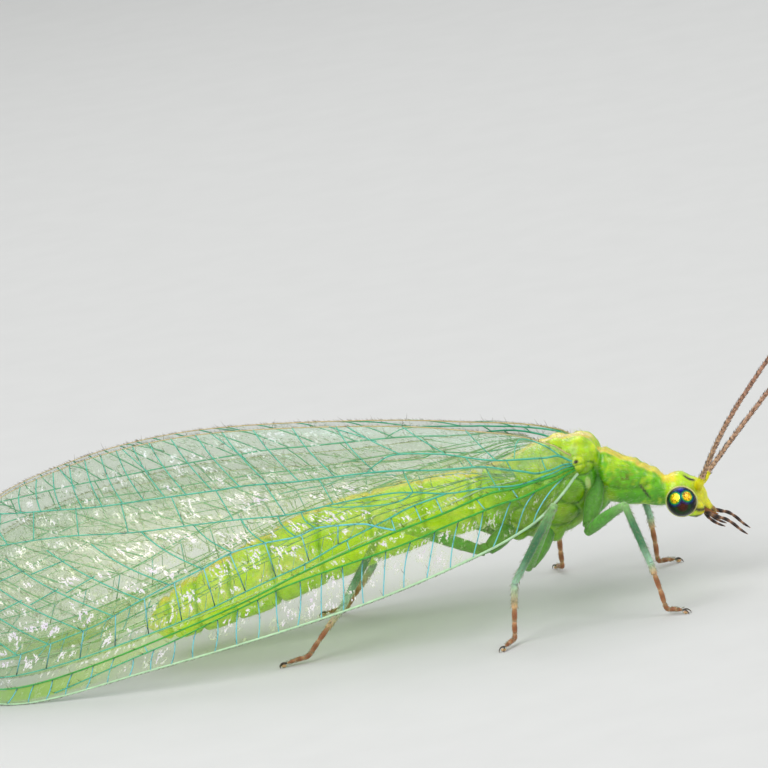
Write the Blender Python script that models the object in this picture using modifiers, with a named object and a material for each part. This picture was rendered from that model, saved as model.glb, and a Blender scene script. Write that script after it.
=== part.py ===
# Green lacewing at rest, life size, on a flat floor: forewings of 13 mm over a body of 11 mm.
#
# The insect faces +X with its right side toward -Y, and +Z is up. The origin is on the floor,
# under the middle of the whole figure. Sizes below are in millimetres, and MM turns them into
# metres.
#
# The trunk is one long form with oval sections, parted into neck, thorax and abdomen by thin
# cuts. The head, eyes, feelers, palps and legs are eggs and bent tubes whose roots take the
# shape of the surface that they stand on. Each wing is a curved vane with its main veins raised.

import math

import bmesh
import bpy
import numpy as np
from mathutils import Vector
from mathutils.bvhtree import BVHTree

MM = 0.001

# Driving dimensions, in millimetres.
WING_THICKNESS = 0.5         # solid wings are far thicker than the real membrane
LAYER_STEP = 0.76            # forewing middle to hindwing middle, inward
RIDGE_GAP = 0.30             # between the left and the right wings, along the ridge of the roof
WING_GAP = 0.10              # wing to trunk, beyond the ridges
STALK_THICKNESS = 0.34       # the hindwing's narrow root, squeezed between trunk and forewing
BELLY_OF_WING = 0.62         # how far a wing bulges outward at mid-chord
EYE_RADIUS = 0.29
EYE_SPREAD = 0.47            # eye centre from the middle of the head
LIMB_RADIUS = 0.25           # solid legs and feelers are at least 0.5 mm thick
HIP_RADIUS = 0.27
TOE_RADIUS = 0.20
BEND_EASE = 1.12             # a leg bends round an arc of this many of its radii
BEND_STEP = 24.0             # degrees between two rings in a bend
GAP = 0.20                   # between neighbouring parts of the body
SMALL_GAP = 0.08             # round the eyes and at the mouth
SHIFT_X = 1.50               # moves the wing roots, where x was measured from, to the final frame

# Heights are above the floor, and x is measured from the root of the forewings.
# Trunk stations: x, height of the middle, half width, half height.
TRUNK = (
    (1.52, 1.83, 0.20, 0.24),
    (1.36, 1.88, 0.34, 0.34),
    (1.10, 2.00, 0.42, 0.40),
    (0.70, 2.22, 0.46, 0.47),
    (0.42, 2.34, 0.43, 0.47),
    (0.24, 2.30, 0.56, 0.62),
    (-0.05, 2.24, 0.72, 0.88),
    (-0.50, 2.18, 0.76, 0.96),
    (-0.95, 2.12, 0.70, 0.90),
    (-1.40, 2.16, 0.64, 0.80),
    (-1.85, 2.20, 0.50, 0.62),
    (-2.30, 2.22, 0.46, 0.56),
    (-3.60, 2.06, 0.56, 0.66),
    (-5.20, 1.74, 0.62, 0.72),
    (-6.60, 1.30, 0.58, 0.66),
    (-7.70, 0.98, 0.46, 0.52),
    (-8.35, 0.80, 0.34, 0.36),
    (-8.70, 0.72, 0.16, 0.18),
)
NECK_FRONT = 1.20            # where the neck meets the head
CHEST_CUT = 0.36             # neck to thorax
WAIST_CUT = -1.95            # thorax to abdomen
WAIST_TILT = 4.0             # degrees
TRUNK_SIDES = 20
TRUNK_RINGS = 56
POLE_EASE = 4.0              # how soon the trunk is full round behind its ends

# Forewing edges from root to tip: x, distance from the middle plane, height.
COSTAL_EDGE = (
    (-0.05, 0.86, 2.62),
    (-0.69, 1.12, 2.08),
    (-1.54, 1.46, 1.66),
    (-3.43, 2.00, 1.20),
    (-5.35, 2.24, 0.86),
    (-8.25, 2.22, 0.42),
    (-10.90, 1.72, -0.03),
    (-12.30, 1.10, 0.44),
    (-12.91, 0.70, 1.30),
)
HIND_EDGE = (
    (-0.12, 0.78, 2.98),
    (-1.43, 0.40, 3.44),
    (-3.23, 0.24, 3.83),
    (-5.98, 0.20, 4.16),
    (-7.84, 0.20, 4.20),
    (-9.57, 0.20, 3.96),
    (-11.20, 0.24, 3.42),
    (-12.45, 0.42, 2.42),
    (-12.91, 0.70, 1.30),
)
# Hindwing, as a region of the layer inside the forewing: place along the forewing, then lower
# and upper edge as shares of its chord. The narrow stalk leaves room for the hind knee.
HINDWING = (
    (0.180, 0.50, 0.60),
    (0.240, 0.53, 0.64),
    (0.310, 0.59, 0.70),
    (0.375, 0.45, 0.73),
    (0.430, 0.28, 0.74),
    (0.520, 0.18, 0.75),
    (0.640, 0.15, 0.75),
    (0.760, 0.17, 0.73),
    (0.835, 0.25, 0.64),
    (0.870, 0.36, 0.52),
)

# Main veins of a wing as shares of the chord, at its root, middle and tip.
VEINS = (
    (0.30, 0.22, 0.10),
    (0.48, 0.40, 0.24),
    (0.64, 0.57, 0.62),
    (0.82, 0.73, 0.78),
)
VEIN_RIDGE = 0.05            # height over the membrane
VEIN_HALF_WIDTH = 0.035      # share of the chord
COSTAL_STRIP = 0.05          # share of the chord between the edge and the next line of the grid
HIND_STRIP = 0.07

WING_ROWS = 24
ROW_EASE = 1.15              # rows lie closer together toward the tip
BULGE_RAMP = 5.0             # the bulge is full from a fifth of the wing behind root and tip
STALK_START = 0.06           # place on the forewing from which the hindwing's root lies under it
STALK_RAMP = 0.08            # length over which the forewing rises over that root
STALK_SHARE = 0.4            # share of the chord over which it rises
STALK_END = 3.0              # the hindwing's root is a third of its length
LAST_ROW = 0.985             # the tip is blunt, not a point
TIP_ROWS = 3                 # rows over which the wing thins toward its tip
END_THINNESS = 0.35          # thickness at the very root and tip, as a share of the wing's

# Head: middle, half length, half width and half height of the capsule, and the mouth.
HEAD_CENTRE = (1.78, 0.0, 1.75)
HEAD_RADII = (0.44, 0.48, 0.43)
HEAD_BACK = 1.36
MOUTH = (2.27, 0.0, 1.34)
SNOUT_CONE = 0.72            # cosine of the half angle of what is drawn out to the mouth
SNOUT_EASE = 1.3
SNOUT_DRAW = 0.75
EYE_CENTRE = (1.70, 1.71)    # x and height
EYE_ANCHOR = 0.75            # the eye is trimmed as seen from this share of its radius outward
PALP = ((2.08, 0.20, 1.42), (2.72, 0.24, 0.90))
PALP_RADII = (0.18, 0.17, 0.07)
# Feelers from root to tip, curved through four places.
FEELERS = {
    "right": ((2.04, -0.21, 1.94), (3.75, -1.15, 4.20), (6.40, -2.50, 6.90), (9.20, -3.95, 9.00)),
    "left": ((2.06, 0.21, 1.96), (4.25, 1.10, 3.95), (6.95, 2.40, 6.10), (9.90, 3.80, 8.00)),
}
FEELER_RADII = ((0.19,), (0.25,), (0.25,), (0.12,))
FEELER_STEPS = 16

# Legs of the right side: hip, the turn below it, knee, ankle, heel and toe, as x, distance
# from the middle plane and height. The left legs mirror them, each foot moved by LEFT_STEP.
LEGS = {
    "fore": ((0.34, 0.25, 2.02), (0.00, 1.02, 1.40), (0.82, 1.50, 2.03), (1.14, 1.80, 0.99),
             (1.30, 1.88, 0.22), (1.58, 1.98, 0.19)),
    "mid": ((-0.78, 0.40, 1.66), (-1.20, 1.20, 1.04), (-0.22, 2.52, 2.52), (-1.28, 2.48, 1.12),
            (-1.45, 2.50, 0.22), (-1.60, 2.82, 0.19)),
    "hind": ((-1.50, 0.30, 1.80), (-1.98, 0.76, 1.38), (-3.70, 0.96, 2.24), (-4.66, 1.36, 0.90),
             (-5.42, 1.64, 0.22), (-5.82, 1.74, 0.19)),
}
LEFT_STEP = {"fore": -0.55, "mid": 0.30, "hind": 0.25}
STEP_SHARES = (0.0, 0.0, 0.3, 0.7, 1.0, 1.0)

SHARP_ANGLE = 40.0           # edges sharper than this many degrees are shaded as creases
WELD = 0.001                 # points of one tube closer than this are one
COLOURS = {
    "skin": ((0.36, 0.66, 0.04, 1.0), 0.42, 0.0),
    "face": ((0.62, 0.70, 0.06, 1.0), 0.40, 0.0),
    "eye": ((0.01, 0.06, 0.03, 1.0), 0.15, 0.4),
    "leg": ((0.20, 0.50, 0.16, 1.0), 0.45, 0.0),
    "wing": ((0.55, 0.80, 0.45, 1.0), 0.25, 0.0),
    "feeler": ((0.35, 0.24, 0.12, 1.0), 0.50, 0.0),
    "palp": ((0.22, 0.12, 0.05, 1.0), 0.50, 0.0),
}


# Scene and materials

def clear_scene():
    for old in list(bpy.data.objects):
        bpy.data.objects.remove(old, do_unlink=True)


def new_collection(name, hidden):
    made = bpy.data.collections.new(name)
    bpy.context.scene.collection.children.link(made)
    made.hide_render = hidden
    return made


def material_of(kind):
    found = bpy.data.materials.get(kind)
    if found:
        return found
    colour, roughness, metallic = COLOURS[kind]
    made = bpy.data.materials.new(kind)
    made.use_nodes = True
    shader = made.node_tree.nodes["Principled BSDF"]
    shader.inputs["Base Color"].default_value = colour
    shader.inputs["Roughness"].default_value = roughness
    shader.inputs["Metallic"].default_value = metallic
    made.diffuse_color = colour
    return made


def face_outward(cage):
    """Turns the faces of a closed surface outward."""
    bmesh.ops.recalc_face_normals(cage, faces=cage.faces)
    if cage.calc_volume(signed=True) < 0.0:
        bmesh.ops.reverse_faces(cage, faces=cage.faces)
    cage.normal_update()


def object_from(mesh_maker, name, kind, collection):
    """A new object whose mesh mesh_maker fills, in the final frame."""
    mesh = bpy.data.meshes.new(name)
    cage = bmesh.new()
    mesh_maker(cage)
    face_outward(cage)
    cage.to_mesh(mesh)
    cage.free()
    mesh.materials.append(material_of(kind))
    made = bpy.data.objects.new(name, mesh)
    collection.objects.link(made)
    mesh.shade_smooth()
    mesh.set_sharp_from_angle(angle=math.radians(SHARP_ANGLE))
    return made


def in_frame(x, y, z):
    """A point given from the wing roots and the floor, in millimetres, in the final frame."""
    return Vector(((x + SHIFT_X) * MM, y * MM, z * MM))


# Smooth curves through a few named points

def smooth_through(stations, place):
    """The stations' values at place (0 to 1), on a curve that passes through each of them."""
    table = np.array(stations, float)
    steps = len(table) - 1
    at = min(max(place, 0.0), 1.0) * steps
    cell = min(int(at), steps - 1)
    f = at - cell
    p1, p2 = table[cell], table[cell + 1]
    p0 = table[cell - 1] if cell > 0 else 2 * p1 - p2
    p3 = table[cell + 2] if cell + 2 <= steps else 2 * p2 - p1
    return 0.5 * (2 * p1 + (p2 - p0) * f + (2 * p0 - 5 * p1 + 4 * p2 - p3) * f**2
                  + (3 * p1 - p0 - 3 * p2 + p3) * f**3)


def smooth_at(stations, key):
    """As above, with the stations' first value as the key, and the rest returned."""
    keys = [station[0] for station in stations]
    rising = keys[-1] > keys[0]
    last = len(keys) - 2
    cell = next((i for i in range(last) if (key <= keys[i + 1]) == rising), last)
    f = (key - keys[cell]) / (keys[cell + 1] - keys[cell])
    return smooth_through(stations, (cell + f) / (len(keys) - 1))[1:]


# Trimming where parts meet

def keep_in_place(thing, side):
    """Applies thing's modifiers, presses what is lower than the floor flat onto it, and keeps
    all of it on its own side of the ridge."""
    graph = bpy.context.evaluated_depsgraph_get()
    baked = bpy.data.meshes.new_from_object(thing.evaluated_get(graph))
    thing.modifiers.clear()
    thing.data = baked
    for vert in baked.vertices:
        vert.co.z = max(vert.co.z, 0.0)
        vert.co.y = side * max(side * vert.co.y, RIDGE_GAP / 2 * MM)


def cut_flat(cage, point, outward):
    """Cuts away what lies past a plane and closes the cut with one flat face."""
    everything = list(cage.verts) + list(cage.edges) + list(cage.faces)
    cut = bmesh.ops.bisect_plane(
        cage, geom=everything, plane_co=point, plane_no=outward, clear_outer=True, dist=WELD * MM
    )
    rim = [item for item in cut["geom_cut"] if isinstance(item, bmesh.types.BMEdge)]
    bmesh.ops.contextual_create(cage, geom=rim)


def skin_tree(mesh_maker):
    """A search tree over the surface that mesh_maker fills."""
    cage = bmesh.new()
    mesh_maker(cage)
    bmesh.ops.triangulate(cage, faces=cage.faces)
    face_outward(cage)
    tree = BVHTree.FromBMesh(cage)
    cage.free()
    return tree


def is_inside(tree, point):
    near, normal, _, _ = tree.find_nearest(point)
    return (point - near).dot(normal) < 0.0


def seat(thing, tree, anchor):
    """Draws each point of thing that lies inside the surface back toward anchor, as far as the
    surface, so that its root takes the surface's own shape."""
    for vert in thing.data.vertices:
        if not is_inside(tree, vert.co):
            continue
        sight = vert.co - anchor
        hit = tree.ray_cast(anchor, sight.normalized(), sight.length)[0]
        if hit is not None:
            vert.co = hit


def clear_of(tree, point, distance):
    """The point, moved away from the surface until it is at least distance from it."""
    near, normal, _, _ = tree.find_nearest(point)
    reach = (point - near).length
    if reach >= distance:
        return point
    if (point - near).dot(normal) < 0.0:
        reach = -reach
    return point + normal * (distance - reach)


# Trunk: neck, thorax and abdomen

def trunk_form(cage, grown):
    """The whole trunk from a ball, each ring of it laid on its station, grown outward by grown."""
    bmesh.ops.create_uvsphere(cage, u_segments=TRUNK_SIDES, v_segments=TRUNK_RINGS, radius=1.0)
    first, last = TRUNK[0][0] + grown, TRUNK[-1][0] - grown
    for vert in cage.verts:
        polar = math.acos(max(-1.0, min(1.0, vert.co.z)))
        x = first + (last - first) * polar / math.pi
        round_the = math.atan2(vert.co.y, vert.co.x)
        inside = min(max(x, TRUNK[-1][0]), TRUNK[0][0])
        middle, half_width, half_height = smooth_at(TRUNK, inside)
        closing = min(1.0, math.sin(polar) * POLE_EASE)
        y = (half_width + grown) * closing * math.cos(round_the)
        z = middle + (half_height + grown) * closing * math.sin(round_the)
        vert.co = in_frame(x, y, z)


def trunk_part(name, front, back, collection):
    """The trunk between two cuts, or from the front cut to its end."""
    def fill(cage):
        trunk_form(cage, 0.0)
        tilt = math.radians(WAIST_TILT)
        ahead = Vector((math.cos(tilt), 0, math.sin(tilt)))
        cut_flat(cage, in_frame(front, 0, smooth_at(TRUNK, front)[0]), ahead)
        if back is not None:
            cut_flat(cage, in_frame(back, 0, smooth_at(TRUNK, back)[0]), -ahead)
        bmesh.ops.triangulate(cage, faces=cage.faces)
    return object_from(fill, name, "skin", collection)


# Eggs and bent tubes

def egg_form(cage, centre, radii, sides, rings):
    """An egg at centre with the three radii, its poles left and right."""
    bmesh.ops.create_uvsphere(cage, u_segments=sides, v_segments=rings, radius=1.0)
    for vert in cage.verts:
        x, y, z = vert.co.x * radii[0], vert.co.z * radii[1], vert.co.y * radii[2]
        vert.co = in_frame(centre[0] + x, centre[1] + y, centre[2] + z)


def bent_path(points, radii):
    """The points with each corner turned into an arc that a tube can follow without folding
    on its inner side, and the tube's radius at each."""
    path = [(Vector(points[0]), radii[0])]
    for before, here, after, radius in zip(points, points[1:], points[2:], radii[1:]):
        here = Vector(here)
        to_before = (Vector(before) - here).normalized()
        to_after = (Vector(after) - here).normalized()
        half = to_before.angle(to_after) / 2
        bend = radius * BEND_EASE
        centre = here + (to_before + to_after).normalized() * (bend / math.sin(half))
        start = (here + to_before * (bend / math.tan(half)) - centre).normalized()
        end = (here + to_after * (bend / math.tan(half)) - centre).normalized()
        cuts = max(2, round((math.pi - 2 * half) / math.radians(BEND_STEP)))
        for cut in range(cuts + 1):
            path.append((centre + start.slerp(end, cut / cuts) * bend, radius))
    path.append((Vector(points[-1]), radii[-1]))
    return path


def tube(name, kind, path, collection):
    """A round tube along a path of points and radii, no lower than the floor."""
    curve = bpy.data.curves.new(name, "CURVE")
    curve.dimensions = "3D"
    curve.bevel_depth = MM
    curve.bevel_resolution = 2
    curve.use_fill_caps = True
    line = curve.splines.new("POLY")
    line.points.add(len(path) - 1)
    for knot, (point, radius) in zip(line.points, path):
        knot.co = (*in_frame(*point), 1.0)
        knot.radius = radius
    guide = bpy.data.objects.new(name + "_line", curve)
    bpy.context.scene.collection.objects.link(guide)
    graph = bpy.context.evaluated_depsgraph_get()
    swept = bpy.data.meshes.new_from_object(guide.evaluated_get(graph))
    bpy.data.objects.remove(guide, do_unlink=True)

    def fill(cage):
        cage.from_mesh(swept)
        bmesh.ops.remove_doubles(cage, verts=cage.verts, dist=WELD * MM)
        for vert in cage.verts:
            vert.co.z = max(vert.co.z, 0.0)
        bmesh.ops.triangulate(cage, faces=cage.faces)
    made = object_from(fill, name, kind, collection)
    bpy.data.meshes.remove(swept)
    return made


# Head, eyes, feelers and palps

def head_form(cage, grown):
    """The head capsule: an egg drawn out forward and down to the mouth, flat behind."""
    radii = [radius + grown for radius in HEAD_RADII]
    egg_form(cage, HEAD_CENTRE, radii, 18, 14)
    centre = in_frame(*HEAD_CENTRE)
    toward = (in_frame(*MOUTH) - centre).normalized()
    reach = (in_frame(*MOUTH) - centre).length + grown * MM
    for vert in cage.verts:
        ray = vert.co - centre
        facing = ray.normalized().dot(toward)
        draw = max(0.0, (facing - SNOUT_CONE) / (1.0 - SNOUT_CONE)) ** SNOUT_EASE
        vert.co = centre + ray.lerp(toward * reach, draw * SNOUT_DRAW)
        vert.co.x = max(vert.co.x, in_frame(HEAD_BACK - grown, 0, 0).x)


def head_group(collection):
    def fill(cage):
        head_form(cage, 0.0)
        bmesh.ops.triangulate(cage, faces=cage.faces)
    head = object_from(fill, "head", "face", collection)
    grown = skin_tree(lambda cage: head_form(cage, SMALL_GAP))

    for word, side in (("right", -1), ("left", 1)):
        centre = (EYE_CENTRE[0], side * EYE_SPREAD, EYE_CENTRE[1])
        eye = object_from(lambda cage: egg_form(cage, centre, (EYE_RADIUS,) * 3, 16, 12),
                          f"eye_{word}", "eye", collection)
        outer = in_frame(centre[0], centre[1] + side * EYE_RADIUS * EYE_ANCHOR, centre[2])
        seat(eye, grown, outer)

        places = [step / FEELER_STEPS for step in range(FEELER_STEPS + 1)]
        path = [(Vector(smooth_through(FEELERS[word], place)),
                 smooth_through(FEELER_RADII, place)[0]) for place in places]
        feeler = tube(f"antenna_{word}", "feeler", path, collection)
        seat(feeler, grown, in_frame(*path[1][0]))

        base, tip = [Vector((x, side * y, z)) for x, y, z in PALP]
        path = list(zip((base, base.lerp(tip, 0.5), tip), PALP_RADII))
        palp = tube(f"palps_{word}", "palp", path, collection)
        seat(palp, grown, in_frame(*path[1][0]))
    return head


# Legs

def leg(name, points, collection, side, tree):
    """Hip, thigh, shin and foot as one bent tube, flat under the toe."""
    hip, trochanter, knee, ankle, heel, toe = [(x, side * y, z) for x, y, z in points]
    radii = (HIP_RADIUS, LIMB_RADIUS, LIMB_RADIUS, LIMB_RADIUS, LIMB_RADIUS, TOE_RADIUS)
    path = bent_path((hip, trochanter, knee, ankle, heel, toe), radii)
    made = tube(name, "leg", path, collection)
    seat(made, tree, in_frame(*path[1][0]))
    return made


# Wings

def wing_point(place, share, inward):
    """A point of the real wing's surface from root (0) to tip (1) and from the costal edge (0)
    to the hind edge (1), moved inward by inward. The solid forewing's outer face lies on it."""
    costal = smooth_through(COSTAL_EDGE, place)
    hind = smooth_through(HIND_EDGE, place)
    across = hind - costal
    out = np.array((0.0, across[2], -across[1]))
    out /= max(np.linalg.norm(out), 1e-6)
    swell = min(1.0, place * BULGE_RAMP) * min(1.0, (1.0 - place) * BULGE_RAMP)
    bulge = BELLY_OF_WING * 4.0 * share * (1.0 - share) * swell
    return costal + across * share + out * (bulge - inward)


def vein_share(vein, place):
    at_root, at_middle, at_tip = vein
    if place < 0.5:
        return at_root + (at_middle - at_root) * place * 2
    return at_middle + (at_tip - at_middle) * (place - 0.5) * 2


def chord_lines(place):
    """Where the grid's lines cross the chord: the edges, each vein's crest and its two feet."""
    lines = [0.0, COSTAL_STRIP]
    for vein in VEINS:
        crest = vein_share(vein, place)
        lines += [crest - VEIN_HALF_WIDTH, crest, crest + VEIN_HALF_WIDTH]
    return lines + [1.0 - HIND_STRIP, 1.0]


def wing(name, collection, side, hind_pair, tree):
    """A membrane grid laid on the wing's surface and given its thickness. The grid's lines
    follow the main veins, whose crests stand out of both faces."""
    lines = len(chord_lines(0.5))
    inward = WING_THICKNESS / 2 + (LAYER_STEP if hind_pair else 0.0)
    crests = [3 + 3 * vein for vein in range(len(VEINS))]
    full = WING_THICKNESS + 2 * VEIN_RIDGE

    def room(place, share):
        """How far the middle of the wing stays from the trunk."""
        if hind_pair:
            return STALK_THICKNESS / 2 + WING_GAP
        over_stalk = min(1.0, max(0.0, place - STALK_START) / STALK_RAMP)
        over_stalk *= min(1.0, share / STALK_SHARE)
        return full / 2 + WING_GAP + (STALK_THICKNESS + WING_GAP) * over_stalk

    def share_of_thickness(row, line):
        ridge = 1.0 if line in crests else WING_THICKNESS / full
        near_end = min(1.0, row, (WING_ROWS - row) / TIP_ROWS)
        ridge *= END_THINNESS + (1.0 - END_THINNESS) * near_end
        if hind_pair:
            blade = min(1.0, STALK_END * row / WING_ROWS)
            return STALK_THICKNESS / full * (1 - blade) + ridge * blade
        return ridge

    def surface(row, line):
        step = row / WING_ROWS
        if hind_pair:
            place = HINDWING[0][0] + (HINDWING[-1][0] - HINDWING[0][0]) * step
            low, high = smooth_at(HINDWING, place)
        else:
            place = LAST_ROW * (1.0 - (1.0 - step) ** ROW_EASE)
            low, high = 0.0, 1.0
        share = low + (high - low) * chord_lines(step)[line]
        x, y, z = wing_point(place, share, inward)
        spot = clear_of(tree, in_frame(x, side * y, z), room(place, share) * MM)
        return spot

    def fill(cage):
        bmesh.ops.create_grid(cage, x_segments=WING_ROWS, y_segments=lines - 1, size=0.5)
        for vert in cage.verts:
            row = round((vert.co.x + 0.5) * WING_ROWS)
            line = round((vert.co.y + 0.5) * (lines - 1))
            vert.co = surface(row, line)
            weights.append(share_of_thickness(row, line))
        bmesh.ops.triangulate(cage, faces=cage.faces)

    weights = []
    made = object_from(fill, name, "wing", collection)
    thickness = made.vertex_groups.new(name="thickness")
    for index, weight in enumerate(weights):
        thickness.add([index], weight, "REPLACE")
    step = made.modifiers.new("membrane", "SOLIDIFY")
    step.thickness = full * MM
    step.offset = 0.0
    step.vertex_group = "thickness"
    step.use_rim = True
    keep_in_place(made, side)
    return made


# The figure

def build():
    clear_scene()
    figure = new_collection("green_lacewing", False)

    trunk_part("neck", NECK_FRONT, CHEST_CUT + GAP / 2, figure)
    trunk_part("thorax", CHEST_CUT - GAP / 2, WAIST_CUT + GAP / 2, figure)
    trunk_part("abdomen", WAIST_CUT - GAP / 2, None, figure)
    head_group(figure)

    beside = skin_tree(lambda cage: trunk_form(cage, GAP))
    against = skin_tree(lambda cage: trunk_form(cage, 0.0))
    for word, side in (("right", -1), ("left", 1)):
        wing(f"forewing_{word}", figure, side, False, against)
        wing(f"hindwing_{word}", figure, side, True, against)
        for pair, points in LEGS.items():
            shift = LEFT_STEP[pair] if side > 0 else 0.0
            moved = [(x + shift * share, y, z)
                     for (x, y, z), share in zip(points, STEP_SHARES)]
            leg(f"{pair}_leg_{word}", moved, figure, side, beside)


build()
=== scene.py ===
import math

import bpy
import numpy as np
from mathutils import Matrix, Vector, noise
from mathutils.kdtree import KDTree


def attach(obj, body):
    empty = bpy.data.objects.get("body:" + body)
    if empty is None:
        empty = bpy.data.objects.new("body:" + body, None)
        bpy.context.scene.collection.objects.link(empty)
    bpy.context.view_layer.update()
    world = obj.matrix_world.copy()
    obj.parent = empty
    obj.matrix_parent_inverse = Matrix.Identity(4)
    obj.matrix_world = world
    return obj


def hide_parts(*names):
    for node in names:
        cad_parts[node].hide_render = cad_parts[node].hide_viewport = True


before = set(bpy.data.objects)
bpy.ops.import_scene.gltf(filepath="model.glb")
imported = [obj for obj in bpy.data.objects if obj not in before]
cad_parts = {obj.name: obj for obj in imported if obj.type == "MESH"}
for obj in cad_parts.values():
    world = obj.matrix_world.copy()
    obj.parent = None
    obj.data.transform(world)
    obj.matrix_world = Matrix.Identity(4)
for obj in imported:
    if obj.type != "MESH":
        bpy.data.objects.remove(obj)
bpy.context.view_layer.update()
bpy.ops.object.select_all(action="DESELECT")


# Body: head, neck, thorax and abdomen. In life each is a ring of thin chitin plates with soft
# skin between them, filled with green blood that glows through. It is one closed skin here: the
# plates are balls pressed together, fused by a fine remesh, then creased between the rings.

SHIFT_X = 1.50                # millimetres from the wing roots, where x is measured, to the origin
BODY_VOXEL = 0.030            # millimetres
PLATES = (                    # x, y, height, half length, half width, half height, pitch in degrees
    (1.62, 0.00, 1.86, 0.32, 0.37, 0.33, 0),        # crown
    (1.85, 0.00, 1.86, 0.23, 0.28, 0.20, 0),        # brow, under the feelers
    (1.88, 0.00, 1.68, 0.26, 0.26, 0.27, 20),       # face
    (2.00, 0.00, 1.54, 0.20, 0.19, 0.15, 45),       # shield over the mouth
    (2.14, 0.00, 1.41, 0.14, 0.13, 0.07, 45),       # upper lip
    (1.40, 0.00, 1.87, 0.18, 0.25, 0.28, 0),        # collar of soft skin
    (-0.72, 0.00, 2.88, 0.17, 0.22, 0.28, 0),       # little shield
    (-1.24, 0.00, 2.70, 0.22, 0.26, 0.24, 0),       # hind shield
    (-1.62, 0.00, 2.22, 0.42, 0.42, 0.52, 0),       # waist
)
PAIRED_PLATES = (
    (1.86, 0.26, 1.55, 0.24, 0.13, 0.19, 30),       # cheek
    (-0.03, 0.20, 2.80, 0.34, 0.30, 0.36, -6),      # domes over the flight muscles
    (-0.44, 0.18, 2.84, 0.28, 0.28, 0.35, 0),
    (-0.07, 0.54, 2.74, 0.18, 0.22, 0.14, -14),     # hinge of the forewing
    (-0.80, 0.44, 2.54, 0.20, 0.18, 0.14, -8),      # hinge of the hindwing
    (0.09, 0.43, 2.34, 0.05, 0.09, 0.12, 10),       # drop-shaped plate behind the neck
    (-0.74, 0.34, 1.58, 0.22, 0.22, 0.28, -12),     # root of the middle leg
    (-1.40, 0.32, 1.68, 0.22, 0.20, 0.28, -20),     # root of the hind leg
    (0.20, 0.25, 1.98, 0.17, 0.16, 0.26, 12),       # root of the fore leg
)
# Stations of the three long forms: x, middle height, half width, half height.
NECK = (
    (1.46, 1.87, 0.24, 0.27),
    (1.36, 1.90, 0.28, 0.30),
    (1.27, 1.95, 0.31, 0.34),
    (1.10, 2.01, 0.34, 0.36),
    (0.91, 2.10, 0.36, 0.41),
    (0.68, 2.17, 0.38, 0.45),
    (0.50, 2.26, 0.39, 0.48),
    (0.38, 2.31, 0.37, 0.50),
    (0.26, 2.33, 0.32, 0.47),
    (0.08, 2.30, 0.24, 0.40),
)
THORAX = (
    (0.33, 2.56, 0.16, 0.26),
    (0.28, 2.56, 0.38, 0.45),
    (0.16, 2.48, 0.48, 0.61),
    (-0.07, 2.39, 0.56, 0.76),
    (-0.42, 2.29, 0.60, 0.86),
    (-0.75, 2.26, 0.60, 0.86),
    (-1.15, 2.19, 0.58, 0.80),
    (-1.60, 2.20, 0.50, 0.64),
    (-2.00, 2.20, 0.42, 0.52),
)
ABDOMEN = (
    (-1.60, 2.20, 0.44, 0.54),
    (-1.95, 2.20, 0.44, 0.55),
    (-2.40, 2.20, 0.44, 0.55),
    (-3.60, 2.06, 0.52, 0.62),
    (-5.20, 1.74, 0.59, 0.69),
    (-6.60, 1.30, 0.55, 0.63),
    (-7.70, 0.98, 0.44, 0.50),
    (-8.35, 0.80, 0.33, 0.35),
    (-8.68, 0.72, 0.17, 0.20),
)
SIDE_PLATES = (               # x, height, half length, half height: swollen, with a seam round each
    (-0.24, 2.24, 0.23, 0.23), (-0.51, 1.84, 0.30, 0.21), (-0.98, 2.24, 0.25, 0.24),
    (-1.20, 1.84, 0.27, 0.21), (0.00, 2.62, 0.22, 0.11), (-0.62, 2.36, 0.17, 0.16),
)
RINGS = (-2.15, -3.05, -4.05, -5.05, -6.00, -6.85, -7.55, -8.12)   # where two rings meet
ABDOMEN_FRONT, ABDOMEN_END = -1.5, -8.70
RING_CREASE, RING_CREASE_WIDTH = 0.055, 0.045
RING_SWELL = 0.030
FLANK_CREASE = 0.040          # the fold along each side, between back and belly plates
FLANK_DROP, FLANK_WIDTH = 0.16, 0.055
NECK_EDGE = 0.030             # the neck shield stands out so far from the soft skin below it
PLATE_SWELL, PLATE_SEAM = 0.035, 0.030
LUMPS, PITS, GRAINS = (0.22, 3), (0.10, 4), (0.05, 7)       # size in millimetres, and seed
LUMP_HEIGHT, PIT_DEPTH, GRAIN_HEIGHT = 0.012, 0.006, 0.003
# pits are painted darker, as shade, and raised spots lighter
PIT_SHADE = 0.14              # how much darker the pits are than the skin
NECK_FOLD = (                 # x and height of the lower edge of the neck shield
    (0.20, 2.38), (0.39, 2.21), (0.64, 2.12), (0.89, 2.10), (1.02, 2.11), (1.30, 2.14),
)
NECK_BUMPS = ((0.40, 0.022), (0.62, 0.012), (0.91, 0.026), (1.07, 0.020), (1.24, 0.012))
BODY_HAIRS = 7000
BODY_HAIR_LENGTH, BODY_HAIR_SPREAD, BODY_HAIR_GIRTH = 0.05, 0.07, 0.0026
BRISTLE_BEND = 0.25           # how far a bristle's tip hangs back, as a share of its length
PATCH = 0.003                 # size of one bristle's patch on the unwrap
PATCH_CORNERS = ((0, 0), (1, 0), (0.5, 1), (0.2, 0.3), (0.8, 0.3), (0.5, 0.9), (0.5, 0.5))

LEAF_GREEN, SHADE_GREEN, DEEP_GREEN = "#84CE06", "#52A808", "#2F7E08"
PANEL_LIME, OLIVE_GREEN = "#C2DC06", "#7CA408"
# the abdomen's lime and glowing white are painted bright to stand for its glow
GLOW_LIME, GLOW_WHITE, BELLY_GREEN = "#D6FF14", "#F2FF8A", "#AEEE20"
STRIPE_YELLOW, RIM_CREAM = "#F2DC1E", "#F0E2A2"
CROWN_LIME, FACE_YELLOW, CHEEK_BROWN, LIP_BROWN = "#CDF00E", "#E2DC12", "#1E0F05", "#8A5212"
DROP_PALE, SPECKLE_OLIVE, HAIR_PALE = "#C8E08A", "#6A6A12", "#F4F8C0"


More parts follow.
